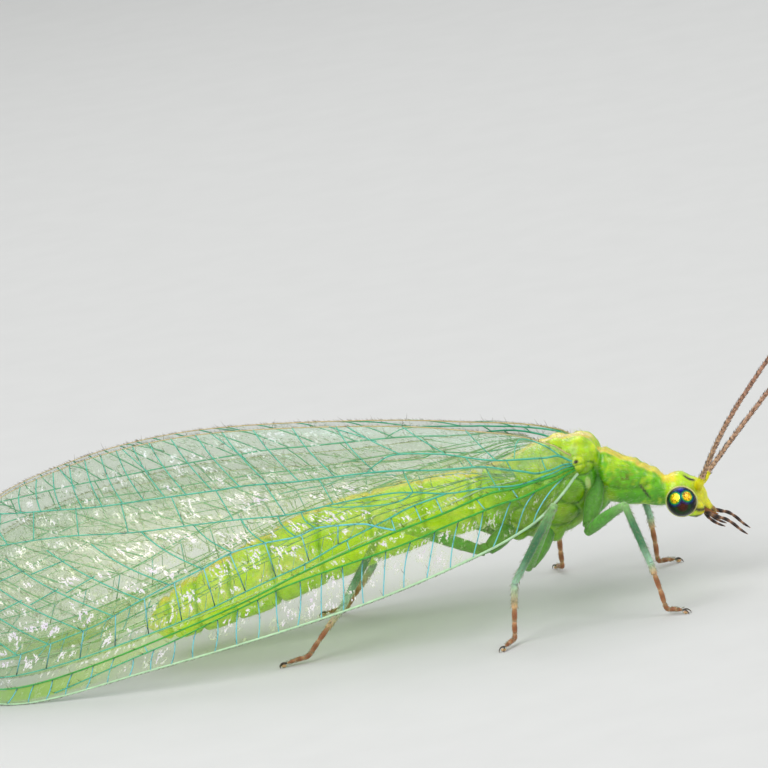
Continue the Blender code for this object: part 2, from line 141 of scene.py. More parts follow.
def linear(code):
    """A hex colour as linear red, green and blue."""
    parts = [int(code[i:i + 2], 16) / 255 for i in (1, 3, 5)]
    return [c / 12.92 if c <= 0.04045 else ((c + 0.055) / 1.055) ** 2.4 for c in parts]


def add(tree, kind, links=(), **settings):
    """Adds a node. A setting is a property of the node or else the value of an input; links are
    pairs of an input and the output that feeds it."""
    node = tree.nodes.new(kind)
    for key, value in settings.items():
        if hasattr(node, key):
            setattr(node, key, value)
        else:
            node.inputs[key.replace("_", " ")].default_value = value
    for socket, source in links:
        tree.links.new(source, node.inputs[socket])
    return node


def material(name, **looks):
    """A new material with its node tree and its shader, whose inputs are set to looks."""
    made = bpy.data.materials.new(name)
    made.use_nodes = True
    shader = made.node_tree.nodes["Principled BSDF"]
    for key, value in looks.items():
        shader.inputs[key.replace("_", " ")].default_value = value
    return made, made.node_tree, shader


def marked_material(name, cloud_size, tone_range, **looks):
    """A material in the colours of the piece's attribute Markings, lighter and darker in
    clouds. Also gives back the places that it reads and the clouds."""
    made, tree, shader = material(name, **looks)
    place = add(tree, "ShaderNodeTexCoord").outputs["Object"]
    markings = add(tree, "ShaderNodeAttribute", attribute_name="Markings").outputs["Color"]
    cloud = add(tree, "ShaderNodeTexNoise", [("Vector", place)], **cloud_size).outputs["Fac"]
    tone = add(tree, "ShaderNodeMapRange", [("Value", cloud)], **tone_range).outputs["Result"]
    vary = add(tree, "ShaderNodeHueSaturation", [("Color", markings), ("Value", tone)])
    tree.links.new(vary.outputs["Color"], shader.inputs["Base Color"])
    return made, tree, shader, place, cloud


def curve_through(stations, place):
    """The stations' values at place, 0 to 1, on a curve that passes through each of them."""
    table = np.array(stations, float)
    steps = len(table) - 1
    at = min(max(place, 0.0), 1.0) * steps
    cell = min(int(at), steps - 1)
    f = at - cell
    p1, p2 = table[cell], table[cell + 1]
    p0 = table[cell - 1] if cell > 0 else 2 * p1 - p2
    p3 = table[cell + 2] if cell + 2 <= steps else 2 * p2 - p1
    return 0.5 * (2 * p1 + (p2 - p0) * f + (2 * p0 - 5 * p1 + 4 * p2 - p3) * f ** 2
                  + (3 * p1 - p0 - 3 * p2 + p3) * f ** 3)


def at_key(stations, key):
    """As above for stations that start with a falling or rising key: the rest at that key."""
    keys = [station[0] for station in stations]
    rising = keys[-1] > keys[0]
    last = len(keys) - 2
    cell = next((i for i in range(last) if (key <= keys[i + 1]) == rising), last)
    f = (key - keys[cell]) / (keys[cell + 1] - keys[cell])
    return curve_through(stations, (cell + f) / (len(keys) - 1))[1:]


def ball(segments, rings, **place):
    """A ball of radius 1, or as placed, its transform applied. Millimetres stand for metres
    until settle() makes the piece its real size."""
    bpy.ops.mesh.primitive_uv_sphere_add(segments=segments, ring_count=rings, **place)
    bpy.ops.object.transform_apply(location=True, rotation=True, scale=True)
    return bpy.context.object


def joined(pieces, name):
    """The pieces as one object."""
    bpy.ops.object.select_all(action="DESELECT")
    for piece in pieces:
        piece.select_set(True)
    bpy.context.view_layer.objects.active = pieces[0]
    bpy.ops.object.join()
    made = bpy.context.object
    made.name = made.data.name = name
    return made


def apply_all(piece):
    bpy.context.view_layer.objects.active = piece
    for modifier in list(piece.modifiers):
        bpy.ops.object.modifier_apply(modifier=modifier.name)


def unit(vectors):
    """The vectors, each brought to length 1."""
    return vectors / np.maximum(np.linalg.norm(vectors, axis=1), 1e-9)[:, None]


def points_of(piece):
    flat = np.empty(len(piece.data.vertices) * 3)
    piece.data.vertices.foreach_get("co", flat)
    return flat.reshape(-1, 3)


def set_points(piece, points):
    piece.data.vertices.foreach_set("co", np.asarray(points).ravel())
    piece.data.update()


def keep_above(points, height):
    """Lifts the points that lie lower to the height."""
    points[:, 2] = np.maximum(points[:, 2], height)


def paint(piece, colours):
    """One linear colour, or one for each vertex, as the piece's attribute Markings."""
    count = len(piece.data.vertices)
    table = np.c_[np.broadcast_to(colours, (count, 3)), np.ones(count)]
    attribute = piece.data.color_attributes.new("Markings", "FLOAT_COLOR", "POINT")
    attribute.data.foreach_set("color", table.ravel())


def settle(piece, finish, nodes):
    """Brings a piece from millimetres round the wing roots to its place in the frame."""
    set_points(piece, (points_of(piece) + (SHIFT_X, 0, 0)) * 0.001)
    piece.data.materials.clear()
    piece.data.materials.append(finish)
    piece.data.shade_smooth()
    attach(piece, "root")
    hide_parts(*nodes)
    bpy.ops.object.select_all(action="DESELECT")


def along_stations(stations, segments, rings, square=1.0):
    """A closed form with oval sections whose rings lie on the stations, from a ball. square
    below 1 makes the ovals boxlike."""
    made = ball(segments, rings)
    points = points_of(made)
    first, last = stations[0][0], stations[-1][0]
    for index, (x, y, z) in enumerate(points):
        polar = math.acos(max(-1.0, min(1.0, z)))
        key = first + (last - first) * polar / math.pi
        middle, half_width, half_height = at_key(stations, key)
        round_the = math.atan2(y, x)
        closing = min(1.0, math.sin(polar) * 5.0)
        sideways, upward = [math.copysign(abs(part) ** square, part)
                            for part in (math.cos(round_the), math.sin(round_the))]
        points[index] = (key, half_width * closing * sideways,
                         middle + half_height * closing * upward)
    set_points(made, points)
    return made


def hump(values, middle, width):
    """1 at middle, falling smoothly to 0 over about width."""
    return np.exp(-((values - middle) / width) ** 2)


def rise(values, low, high):
    """0 below low, 1 above high, smooth between."""
    f = np.clip((values - low) / (high - low), 0.0, 1.0)
    return f * f * (3 - 2 * f)


def normals_of(piece):
    flat = np.empty(len(piece.data.vertices) * 3)
    piece.data.vertices.foreach_get("normal", flat)
    return flat.reshape(-1, 3)


def fractal(points, scale, seed):
    """Smooth noise at each point, about -1 to 1, with lumps of the size scale in millimetres."""
    shift = Vector((seed * 7.3, seed * 3.1, seed * 5.7))
    return np.array([noise.noise(Vector(p) / scale + shift) for p in points])


def bristles(roots, directions, lengths, thick):
    """Points and triangles of tapered three-sided bristles, each bent a little on its way. The
    points come in seven rows: three at the root, three half way, the tip."""
    directions = unit(directions)
    guide = np.where(np.abs(directions[:, 2:3]) < 0.9, (0, 0, 1.0), (0, 1.0, 0))
    across = unit(np.cross(directions, guide))
    up = np.cross(directions, across)
    lengths = np.asarray(lengths, float)[:, None]
    points, faces = [], []
    for share, width in ((-0.08, 1.0), (0.5, 0.7), (1.0, 0.0)):
        bend = BRISTLE_BEND * max(share, 0) ** 2
        middle = roots + directions * lengths * share - up * lengths * bend
        for corner in range(3 if width else 1):
            angle = corner * math.tau / 3
            points.append(middle + (across * math.cos(angle) + up * math.sin(angle))
                          * thick * width)
    row = np.arange(7)[:, None] * len(roots) + np.arange(len(roots))
    for corner, after in ((0, 1), (1, 2), (2, 0)):
        faces += [np.c_[row[corner], row[after], row[after + 3]],
                  np.c_[row[corner], row[after + 3], row[corner + 3]],
                  np.c_[row[corner + 3], row[after + 3], row[6]]]
    faces.append(np.c_[row[2], row[1], row[0]])
    return np.concatenate(points), np.concatenate(faces)


def mesh_piece(name, points, faces):
    """An object from points and faces that are already worked out."""
    mesh = bpy.data.meshes.new(name)
    mesh.from_pydata(points.tolist(), [], [[int(corner) for corner in face] for face in faces])
    mesh.update()
    made = bpy.data.objects.new(name, mesh)
    bpy.context.scene.collection.objects.link(made)
    return made


def coat(name, hairs, colours, unwrap, finish, nodes):
    """A joined piece of bristles with the markings of their roots, each with a patch at its
    root's place on an unwrap of what it grows on."""
    piece = mesh_piece(name, *hairs)
    colours = np.broadcast_to(colours, (len(unwrap), 3))
    paint(piece, np.tile(colours, (len(PATCH_CORNERS), 1)))
    corners = np.empty(len(piece.data.loops), np.int32)
    piece.data.loops.foreach_get("vertex_index", corners)
    row, hair = np.divmod(corners, len(unwrap))
    spots = np.asarray(unwrap)[hair] * (1 - PATCH) + np.array(PATCH_CORNERS)[row] * PATCH
    piece.data.uv_layers.new(name="OFBake").data.foreach_set("uv", spots.ravel())
    settle(piece, finish, nodes)
    return piece


def fold_of(x):
    """Height of the lower edge of the neck shield."""
    return np.interp(x, *np.array(NECK_FOLD).T)


def belly_axis(x):
    """Height of the abdomen's middle; in front of it, that of its first ring."""
    return np.array([at_key(ABDOMEN, min(ABDOMEN[0][0], key))[0] for key in x])


def side_plates(points):
    """How far each point is out from the middle of the nearest side plate, as a share of that
    plate's size; large on the back and in front."""
    x, y, z = points.T
    out = [np.hypot((x - middle_x) / long, (z - height) / high)
           for middle_x, height, long, high in SIDE_PLATES]
    return np.min(out, axis=0) + 4 * (1 - rise(np.abs(y), 0.22, 0.34))


def body_colours(points, normals):
    """The markings of skin and hairs: green, with a painted glow on the abdomen, painted shade in
    the furrow behind the neck and painted highlights on the upper rims of the side plates, with the
    yellow stripe along the back, the yellow face and the dark cheeks of this animal."""
    x, y, z = points.T
    middle = belly_axis(x)
    behind = rise(-x, 1.5, 2.2)
    chest = rise(-x, -0.34, -0.28) * (1 - rise(-x, 1.4, 1.8))
    neck = rise(x, 0.26, 0.34) * (1 - rise(x, 1.30, 1.42))
    shade = 0.5 + 0.5 * fractal(points, 0.45, 1)
    fine = fractal(points, 0.06, 8)
    colours = np.outer(shade, linear(LEAF_GREEN)) + np.outer(1 - shade, linear(SHADE_GREEN))

    def over(code, share):
        nonlocal colours
        share = np.clip(share, 0, 1)
        colours = colours * (1 - share[:, None]) + np.outer(share, linear(code))

    # chest: lime above and olive below, each side plate with a dark seam and a lime rim, the rim a
    # painted highlight where it faces up
    over(PANEL_LIME, chest * rise(z, 2.45, 2.70) * (0.75 + 0.5 * fractal(points, 0.2, 9)))
    over(OLIVE_GREEN, chest * (1 - rise(z, 2.10, 2.45)) * (0.70 + 0.5 * fractal(points, 0.25, 10)))
    over(PANEL_LIME, chest * hump(x, -0.46, 0.10) * hump(z, 1.90, 0.10) * 0.8)
    plate = side_plates(points)
    over(OLIVE_GREEN, (1 - rise(plate, 0.5, 1.0)) * 0.5)
    over(DEEP_GREEN, hump(plate, 1.10, 0.10) * 0.65)
    # painted highlight: the rim is lime only on its upward faces
    over(PANEL_LIME, hump(plate, 0.88, 0.08) * rise(normals[:, 2], -0.2, 0.4) * 0.7)
    # painted shade in the furrow behind the neck, the brown spot of the wing's hinge and the pale
    # drop
    over(DEEP_GREEN, hump(x, 0.20, 0.10) * (1 - rise(z, 2.45, 2.80)) * 0.85)
    hinge = np.hypot((x + 0.04) / 0.05, (z - 2.80) / 0.035) + 4 * (np.abs(y) < 0.45)
    over(CHEEK_BROWN, 1 - rise(hinge, 0.7, 1.1))
    drop = np.hypot((x - 0.075) / 0.05, (z - 2.34) / 0.12)
    over(DROP_PALE, (1 - rise(drop, 0.7, 1.1)) * rise(np.abs(y), 0.2, 0.3) * 0.8)
    # neck: darker below its fold, mottled, with one spot of brown speckles
    over(SHADE_GREEN, neck * rise(fold_of(x) - z, 0.0, 0.25) * 0.75)
    over(PANEL_LIME, neck * hump(x, 0.42, 0.10) * hump(z, 1.98, 0.12) * 0.6)
    over(PANEL_LIME, neck * rise(fractal(points, 0.30, 13) + 0.5 * fine, 0.0, 0.5) * 0.65)
    speckled = neck * hump(x, 0.74, 0.16) * hump(z, 2.27, 0.13) * rise(fine, -0.20, 0.15)
    over(SPECKLE_OLIVE, speckled * 0.8)
    # abdomen: lime made bright as a painted glow, with painted glow patches brightest at mid-height
    # and toward the tail, darker between the rings
    over(GLOW_LIME, behind * (0.75 + 0.25 * shade))
    bright = rise(fractal(points, 0.5, 11) + 0.35 * rise(-x, 3.0, 7.0), -0.10, 0.45)
    over(GLOW_WHITE, behind * bright * hump(z - middle, 0, 0.5) * 0.75)
    over(BELLY_GREEN, behind * rise(middle - z, 0.20, 0.50) * 0.6)
    for ring in RINGS:
        over(SHADE_GREEN, hump(x, ring, 0.05) * 0.55)
    # the stripe along the back, with an uneven edge and a paler middle on the chest
    uneven = 0.12 + 0.05 * fractal(points, 0.2, 2)
    on_back = rise(normals[:, 2], 0.35, 0.75)
    stripe = on_back * (1 - rise(np.abs(y), uneven, uneven + 0.10)) * (1 - rise(x, 1.5, 1.6))
    over(STRIPE_YELLOW, stripe * 0.9)
    over(RIM_CREAM, stripe * chest * rise(fractal(points, 0.18, 12), -0.25, 0.15) * 0.8)
    # head: lime crown with two brown marks, yellow face, brown cheeks, mouth and side streak
    over(CROWN_LIME, rise(x, 1.36, 1.50) * 0.9)
    over(STRIPE_YELLOW, rise(x, 1.34, 1.42) * (1 - rise(x, 1.58, 1.72)) * rise(z, 2.02, 2.12))
    over(FACE_YELLOW, rise(x, 1.86, 2.02) * 0.9)
    crown = hump(np.abs(y), 0.12, 0.035) * rise(normals[:, 2], 0.3, 0.5) * rise(x, 1.74, 1.82)
    over(CHEEK_BROWN, crown * (1 - rise(x, 1.94, 1.99)) * 1.3)
    cheek_line = np.interp(x, (1.84, 2.00, 2.08, 2.16), (1.58, 1.49, 1.48, 1.42))
    cheek = hump(z, cheek_line, 0.030) * rise(x, 1.86, 1.90)
    under = hump(z, 1.37, 0.028) * rise(x, 1.72, 1.80) * (1 - rise(x, 2.02, 2.10))
    aside = rise(np.abs(y), 0.10, 0.18)
    over(CHEEK_BROWN, np.clip(1.6 * (cheek + under), 0, 0.95) * aside)
    over(LIP_BROWN, rise(x - z * 0.9, 0.84, 0.92) * 0.9)
    over(CHEEK_BROWN, rise(x - z * 0.9, 0.86, 0.94) * rise(np.abs(y), 0.05, 0.11) * 0.8)
    streak = hump(x + (z - 1.96) * 0.48, 1.065, 0.020) * hump(z, 1.965, 0.125)
    over(CHEEK_BROWN, np.clip(streak * rise(np.abs(y), 0.2, 0.28) * 2.2, 0, 0.97))
    return colours


plates = [along_stations(NECK, 40, 60, 0.88), along_stations(THORAX, 48, 60, 0.74),
          along_stations(ABDOMEN, 48, 200)]
for group, sides, segments, rings in ((PLATES, (1,), 28, 18), (PAIRED_PLATES, (-1, 1), 24, 16)):
    for x, y, z, length, width, height, pitch in group:
        for side in sides:
            plates.append(ball(segments, rings, location=(x, side * y, z),
                               scale=(length, width, height),
                               rotation=(0, math.radians(pitch), 0)))
skin = joined(plates, "body_skin")
fused = skin.modifiers.new("fused", "REMESH")
fused.mode = "VOXEL"
fused.voxel_size = BODY_VOXEL
eased = skin.modifiers.new("eased", "SMOOTH")
eased.factor = 0.5
eased.iterations = 4
apply_all(skin)

points, normals = points_of(skin), normals_of(skin)
x, y, z = points.T
middle = belly_axis(x)
neck = rise(x, 0.28, 0.36) * (1 - rise(x, 1.26, 1.36))
lift = np.zeros(len(points))
edges = (ABDOMEN_FRONT,) + RINGS + (ABDOMEN_END,)
for front, back in zip(edges, edges[1:]):
    within = (x <= front) & (x > back)
    lift[within] += RING_SWELL * np.sin(math.pi * (front - x[within]) / (front - back)) ** 0.6
for ring in RINGS:
    lift -= RING_CREASE * hump(x, ring, RING_CREASE_WIDTH)
lift -= FLANK_CREASE * hump(z, middle - FLANK_DROP, FLANK_WIDTH) * rise(-x, 2.0, 2.5) \
    * (1 - rise(-x, 8.0, 8.5))
over_fold = z - fold_of(x)
shelf = rise(over_fold, -0.01, 0.03) - hump(over_fold, -0.035, 0.030)
lift += NECK_EDGE * shelf * neck * rise(np.abs(y), 0.10, 0.20)
for bump_x, high in NECK_BUMPS:
    lift += high * hump(x, bump_x, 0.045) * rise(normals[:, 2], 0.3, 0.8) * neck
plate = side_plates(points)
lift += PLATE_SWELL * (1 - rise(plate, 0.55, 1.0)) - PLATE_SEAM * hump(plate, 1.10, 0.10)
pits = fractal(points, *PITS)
lift += LUMP_HEIGHT * fractal(points, *LUMPS) + PIT_DEPTH * pits
lift += GRAIN_HEIGHT * fractal(points, *GRAINS)
set_points(skin, points + normals * lift[:, None])
# painted shade in the pits and painted light on the raised spots
paint(skin, body_colours(points, normals) * (1 + PIT_SHADE * pits)[:, None])

# Thin green chitin over green blood: wax-like depth, a soft gloss, and fine pores.
chitin, tree, shader, place, _ = marked_material(
    "green_chitin", dict(Scale=6000.0, Detail=6.0, Roughness=0.65),
    dict(From_Min=0.25, From_Max=0.75, To_Min=0.74, To_Max=1.34),
    Roughness=0.36, Coat_Weight=0.40, Coat_Roughness=0.16, Subsurface_Weight=0.55,
    Subsurface_Radius=(0.55, 1.0, 0.10), Subsurface_Scale=0.00045)
pores = add(tree, "ShaderNodeTexVoronoi", [("Vector", place)], Scale=22000.0)   # 0.045 mm apart
grain = add(tree, "ShaderNodeTexNoise", [("Vector", place)], Scale=11000.0, Detail=3.0)
coarse = add(tree, "ShaderNodeBump", [("Height", grain.outputs["Fac"])], Strength=0.35,
             Distance=0.00004)
fine = add(tree, "ShaderNodeBump",
           [("Height", pores.outputs["Distance"]), ("Normal", coarse.outputs["Normal"])],
           Strength=0.25, Distance=0.00002)
tree.links.new(fine.outputs["Normal"], shader.inputs["Normal"])

# Short pale hairs, finest on the face: they lean back along the body.
chance = np.random.default_rng(7)
picks = chance.integers(0, len(points), BODY_HAIRS)
roots, outward = points_of(skin)[picks], normals_of(skin)[picks]
lengths = BODY_HAIR_LENGTH + BODY_HAIR_SPREAD * chance.random(BODY_HAIRS)
lengths *= 1 - 0.5 * rise(roots[:, 0], 1.3, 1.9)
lean = outward * 0.8 + (-1.0, 0, -0.1) + chance.normal(0, 0.25, (BODY_HAIRS, 3))
unwrap = np.c_[(roots[:, 0] + 8.8) / 11.2,                # from tail to lip, and round the body
               np.arctan2(roots[:, 1], roots[:, 2] - 2.0) / math.tau + 0.5]
coat("body_coat", bristles(roots, lean, lengths, BODY_HAIR_GIRTH),
     body_colours(roots, outward) * 0.6 + np.array(linear(HAIR_PALE)) * 0.4, unwrap, chitin,
     ("head", "neck", "thorax", "abdomen"))
settle(skin, chitin, ("head", "neck", "thorax", "abdomen"))


# Eyes: two half-balls of some thousand lenses each, metallic, the rim blue-black. Two gold patches
# above, ringed green, teal and blue-black, are painted reflections of two lamps, each lens with a
# painted orange glint; below they are dark brown and green, with a dark blue patch on top.

EYE_CENTRE = (1.70, 0.385, 1.71)
EYE_RADIUS = 0.280
LENS = 0.034                  # millimetres across; the real ones are 0.02, too fine to show
RIM_WIDTH, RIM_OUT, RIM_LIME = 0.022, 0.40, "#D8E27A"
# the orange of the glint painted in each lens
LENS_GLINT = "#FF9A3C"

eye_gloss, tree, shader = material("eye_lenses_painted_reflections", Metallic=0.85, Roughness=0.26,
                                   Coat_Weight=0.3, Coat_Roughness=0.06)
place = add(tree, "ShaderNodeTexCoord").outputs["Object"]
aside = add(tree, "ShaderNodeVectorMath", [(0, place)], operation="ABSOLUTE")
from_middle = add(tree, "ShaderNodeVectorMath", [(0, aside.outputs["Vector"])],
                  operation="SUBTRACT")
from_middle.inputs[1].default_value = ((EYE_CENTRE[0] + SHIFT_X) * 0.001,
                                       EYE_CENTRE[1] * 0.001, EYE_CENTRE[2] * 0.001)
toward = add(tree, "ShaderNodeVectorMath", [(0, from_middle.outputs["Vector"])],
             operation="NORMALIZE").outputs["Vector"]
# the first two zones are painted reflections of two lamps; the last two are the eye's dark brown
# and dark blue
zones = (                     # direction of a zone's middle, then cosines and colours outward
    ((-0.32, 0.825, 0.466), ((1.0, "#FFD21A"), (0.945, "#FFE81E"), (0.928, "#39E03C"),
                             (0.905, "#0B7F86"), (0.865, "#0A2478"), (0.80, "#04040E"))),
    ((0.526, 0.71, 0.468), ((1.0, "#FFB81A"), (0.953, "#FFDC1C"), (0.936, "#39E03C"),
                            (0.914, "#0B7F86"), (0.875, "#0A2478"), (0.81, "#04040E"))),
    ((0.138, 0.979, -0.147), ((1.0, "#5A230E"), (0.96, "#4A2A0E"), (0.90, "#1D4A14"),
                              (0.80, "#0A2A10"), (0.66, "#03060A"), (0.60, "#020208"))),
    ((0.172, 0.506, 0.845), ((1.0, "#1B2EC0"), (0.985, "#12248C"), (0.955, "#0A1C60"),
                             (0.92, "#081040"), (0.86, "#040818"), (0.80, "#010106"))),
)
bands = []
for direction, stops in zones:
    facing = add(tree, "ShaderNodeVectorMath", [(0, toward)], operation="DOT_PRODUCT")
    facing.inputs[1].default_value = Vector(direction).normalized()
    ramp = add(tree, "ShaderNodeValToRGB", [("Fac", facing.outputs["Value"])])
    ramp.color_ramp.interpolation = "EASE"
    for element, (position, code) in zip(ramp.color_ramp.elements, (stops[-1], stops[0])):
        element.position = position
        element.color = (*linear(code), 1)
    for position, code in stops[1:-1]:
        ramp.color_ramp.elements.new(position).color = (*linear(code), 1)
    bands.append(ramp.outputs["Color"])
tones_and_painted_reflections = bands[0]
for band in bands[1:]:
    both = add(tree, "ShaderNodeMix", data_type="RGBA", blend_type="LIGHTEN")
    both.inputs[0].default_value = 1.0
    tree.links.new(tones_and_painted_reflections, both.inputs[6])
    tree.links.new(band, both.inputs[7])
    tones_and_painted_reflections = both.outputs[2]
lenses = add(tree, "ShaderNodeTexVoronoi", [("Vector", place)], Scale=1000.0 / LENS)
seams = add(tree, "ShaderNodeMapRange", [("Value", lenses.outputs["Distance"])], From_Min=0.40,
            From_Max=0.80, To_Min=1.0, To_Max=0.45)
# painted glints: an orange dot in the middle of each lens
hot = add(tree, "ShaderNodeMapRange", [("Value", lenses.outputs["Distance"])], From_Min=0.10,
          From_Max=0.34, To_Min=0.85, To_Max=0.0)
dots = add(tree, "ShaderNodeMix", [(0, hot.outputs["Result"]), (6, tones_and_painted_reflections)],
           data_type="RGBA", blend_type="MULTIPLY")
dots.inputs[7].default_value = (*linear(LENS_GLINT), 1)
speckle = add(tree, "ShaderNodeHueSaturation", [("Color", dots.outputs[2]),
                                                ("Value", seams.outputs["Result"])])
tree.links.new(speckle.outputs["Color"], shader.inputs["Base Color"])
domes = add(tree, "ShaderNodeBump", [("Height", lenses.outputs["Distance"])], Strength=0.30,
            Distance=0.00002, invert=True)
tree.links.new(domes.outputs["Normal"], shader.inputs["Normal"])

for word, side in (("right", -1), ("left", 1)):
    middle = (EYE_CENTRE[0], side * EYE_CENTRE[1], EYE_CENTRE[2])
    eye = ball(64, 40, location=middle, scale=(EYE_RADIUS,) * 3,
               rotation=(math.radians(90), 0, 0))
    eye.name = f"eye_{word}_lenses"
    settle(eye, eye_gloss, (f"eye_{word}",))
    # a pale raised rim of skin holds each eye
    bpy.ops.mesh.primitive_torus_add(
        major_radius=EYE_RADIUS * 0.98, minor_radius=RIM_WIDTH, major_segments=72,
        minor_segments=12, location=(middle[0], side * RIM_OUT, middle[2]),
        rotation=(math.radians(90), 0, 0))
    bpy.ops.object.transform_apply(location=True, rotation=True, scale=True)
    rim = bpy.context.object
    rim.name = f"eye_rim_{word}"
    paint(rim, linear(RIM_LIME))
    settle(rim, chitin, ("head",))


# Feelers: about ninety little rings of brown chitin on a thick green root, each ring a little
# wider at its outer end, with short bristles. They taper all the way to the tip.

FEELERS = {
    "right": ((2.00, -0.18, 1.86), (2.75, -0.66, 3.02), (3.75, -1.15, 4.20), (5.03, -1.80, 5.55),
              (6.40, -2.50, 6.90), (7.80, -3.24, 8.02), (9.20, -3.95, 9.00)),
    "left": ((2.02, 0.18, 1.88), (2.98, 0.62, 2.80), (4.25, 1.10, 3.95), (5.60, 1.75, 5.05),
             (6.95, 2.40, 6.10), (8.42, 3.10, 7.12), (9.90, 3.80, 8.00)),
}
FEELER_RINGS = 92
FEELER_ROOT, FEELER_TIP = 0.047, 0.026
SCAPE, PEDICEL = 0.085, 0.066           # radii of the two root pieces
SCAPE_END, PEDICEL_END = 0.020, 0.030   # and where they end, as shares of the length
FEELER_ROSE, FEELER_TAN, FEELER_DARK = "#C8987E", "#E0BE98", "#20140E"
FEELER_BRISTLES, FEELER_BRISTLE_LENGTH, FEELER_BRISTLE_GIRTH = 2200, 0.062, 0.0036
FEELER_SIDES = 12


def frames_along(path):
    """Two unit vectors across the path at each of its points, turning as little as they can."""
    tangents = unit(np.gradient(path, axis=0))
    across = np.cross(tangents[0], (0, 0, 1.0) if abs(tangents[0][2]) < 0.9 else (0, 1.0, 0))
    sides, ups = [], []
    for tangent in tangents:
        across = across - tangent * (across @ tangent)
        across /= np.linalg.norm(across)
        sides.append(across)
        ups.append(np.cross(tangent, across))
    return np.array(sides), np.array(ups)


def round_path(path, picks, turn):
    """Unit vectors from the path's points picks: outward at the angle turn, and forward."""
    sides, ups = frames_along(path)
    outward = sides[picks] * np.cos(turn)[:, None] + ups[picks] * np.sin(turn)[:, None]
    return outward, unit(path[picks + 1] - path[picks])


def drawn_along(path, radii, sides, flat=1.0):
    """A closed tube from a ball whose rings are laid along the path, and each point's ring.
    flat below 1 makes it lower than wide."""
    path, radii = np.asarray(path, float), np.asarray(radii, float)
    made = ball(sides, len(path) + 1)
    points = points_of(made)
    across, up = frames_along(path)
    polar = np.arccos(np.clip(points[:, 2], -1, 1))
    ring = np.rint(polar / math.pi * (len(path) + 1)).astype(int) - 1
    angle = np.arctan2(points[:, 1], points[:, 0])
    pole = (ring < 0) | (ring >= len(path))
    ring = np.clip(ring, 0, len(path) - 1)
    reach = np.where(pole, 0.0, radii[ring])[:, None]
    set_points(made, path[ring] + across[ring] * np.cos(angle)[:, None] * reach
               + up[ring] * np.sin(angle)[:, None] * reach * flat)
    return made, ring


# Hard brown chitin, semi-gloss, darker in each joint.
horn, tree, shader, _, cloud = marked_material(
    "brown_horny_chitin", dict(Scale=9000.0, Detail=3.0), dict(To_Min=0.65, To_Max=1.35),
    Roughness=0.42, Subsurface_Weight=0.2, Subsurface_Radius=(0.8, 0.5, 0.2),
    Subsurface_Scale=0.00015)
bump = add(tree, "ShaderNodeBump", [("Height", cloud)], Strength=0.4, Distance=0.00002)
tree.links.new(bump.outputs["Normal"], shader.inputs["Normal"])

for word, stations in FEELERS.items():
    count = FEELER_RINGS * 4              # four steps a ring, the fourth the widest
    places = np.linspace(0, 1, count) ** 1.06
    path = np.array([curve_through(stations, place) for place in places])
    beat = (np.arange(count) % 4) / 3
    radii = FEELER_ROOT + (FEELER_TIP - FEELER_ROOT) * places ** 0.8
    radii *= 0.86 + 0.20 * beat
    scape = places < SCAPE_END
    pedicel = (places >= SCAPE_END) & (places < PEDICEL_END)
    radii[scape] = SCAPE * (0.8 + 0.2 * np.sin(np.linspace(0.3, 2.6, scape.sum())))
    radii[pedicel] = PEDICEL
    feeler, ring = drawn_along(path, radii, FEELER_SIDES)
    near = 0.6 * (1 - rise(places[ring], 0.05, 0.30))
    colours = np.outer(1 - near, linear(FEELER_ROSE)) + np.outer(near, linear(FEELER_TAN))
    shade = 0.60 + 0.40 * beat[ring]
    colours = colours * shade[:, None] + np.outer(1 - shade, linear(FEELER_DARK))
    root = (places[ring] < PEDICEL_END)[:, None]
    paint(feeler, np.where(root, linear(FACE_YELLOW), colours))
    feeler.name = f"feeler_{word}_rings"
    settle(feeler, horn, (f"antenna_{word}",))

    picks = chance.integers(int(count * PEDICEL_END), count - 2, FEELER_BRISTLES)
    turn = chance.random(FEELER_BRISTLES) * math.tau
    outward, ahead = round_path(path, picks, turn)
    hairs = bristles(path[picks] + outward * radii[picks][:, None] * 0.9, outward * 0.5 + ahead,
                     np.full(FEELER_BRISTLES, FEELER_BRISTLE_LENGTH), FEELER_BRISTLE_GIRTH)
    coat(f"feeler_{word}_coat", hairs, linear(FEELER_DARK),
         np.c_[places[picks], turn / math.tau], horn, (f"antenna_{word}",))


# Mouth: two jaws, and two pairs of palps, the longer of five joints and the shorter of three.
# Each joint is a brown chitin sleeve, dark in the middle and pale where it meets the next.

JAW = ((2.02, 0.13, 1.46), (2.16, 0.14, 1.37), (2.28, 0.07, 1.30))
LONG_PALP = ((2.04, 0.15, 1.42), (2.16, 0.20, 1.35), (2.30, 0.23, 1.28), (2.42, 0.25, 1.23),
             (2.54, 0.25, 1.13), (2.66, 0.24, 0.99), (2.78, 0.24, 0.88))
SHORT_PALP = ((2.04, 0.10, 1.38), (2.12, 0.12, 1.25), (2.24, 0.12, 1.14), (2.38, 0.12, 1.06))
PALP_RADIUS, SHORT_PALP_RADIUS, JAW_RADIUS, JAW_FLAT = 0.040, 0.034, 0.070, 0.7
PALP_SIDES = 12
PALP_DARK, PALP_PALE = "#1E0E08", "#B98A6A"


def jointed(stations, joints, radius, taper, dark, pale):
    """A palp or foot: joints one after the other, each a sleeve that reaches a little into the
    next, dark in its middle and pale at its ends."""
    made = []
    share = np.linspace(0, 1, 9)
    for joint in range(joints):
        places = (joint + 1.06 * share) / joints
        path = np.array([curve_through(stations, place) for place in places])
        size = radius * (1 - taper * (joint + 0.5) / joints)
        radii = size * (0.62 + 0.42 * np.sin(math.pi * (0.15 + 0.75 * share)))
        radii[-1] *= 0.72
        if joint == joints - 1:
            radii *= 1 - 0.8 * share ** 1.5
        piece, ring = drawn_along(path, radii, PALP_SIDES)
        depth = np.sin(math.pi * share[ring]) ** 0.6
        paint(piece, np.outer(depth, linear(dark)) + np.outer(1 - depth, linear(pale)))
        made.append(piece)
    return made


def mirrored(stations, side):
    return [(x, side * y, z) for x, y, z in stations]


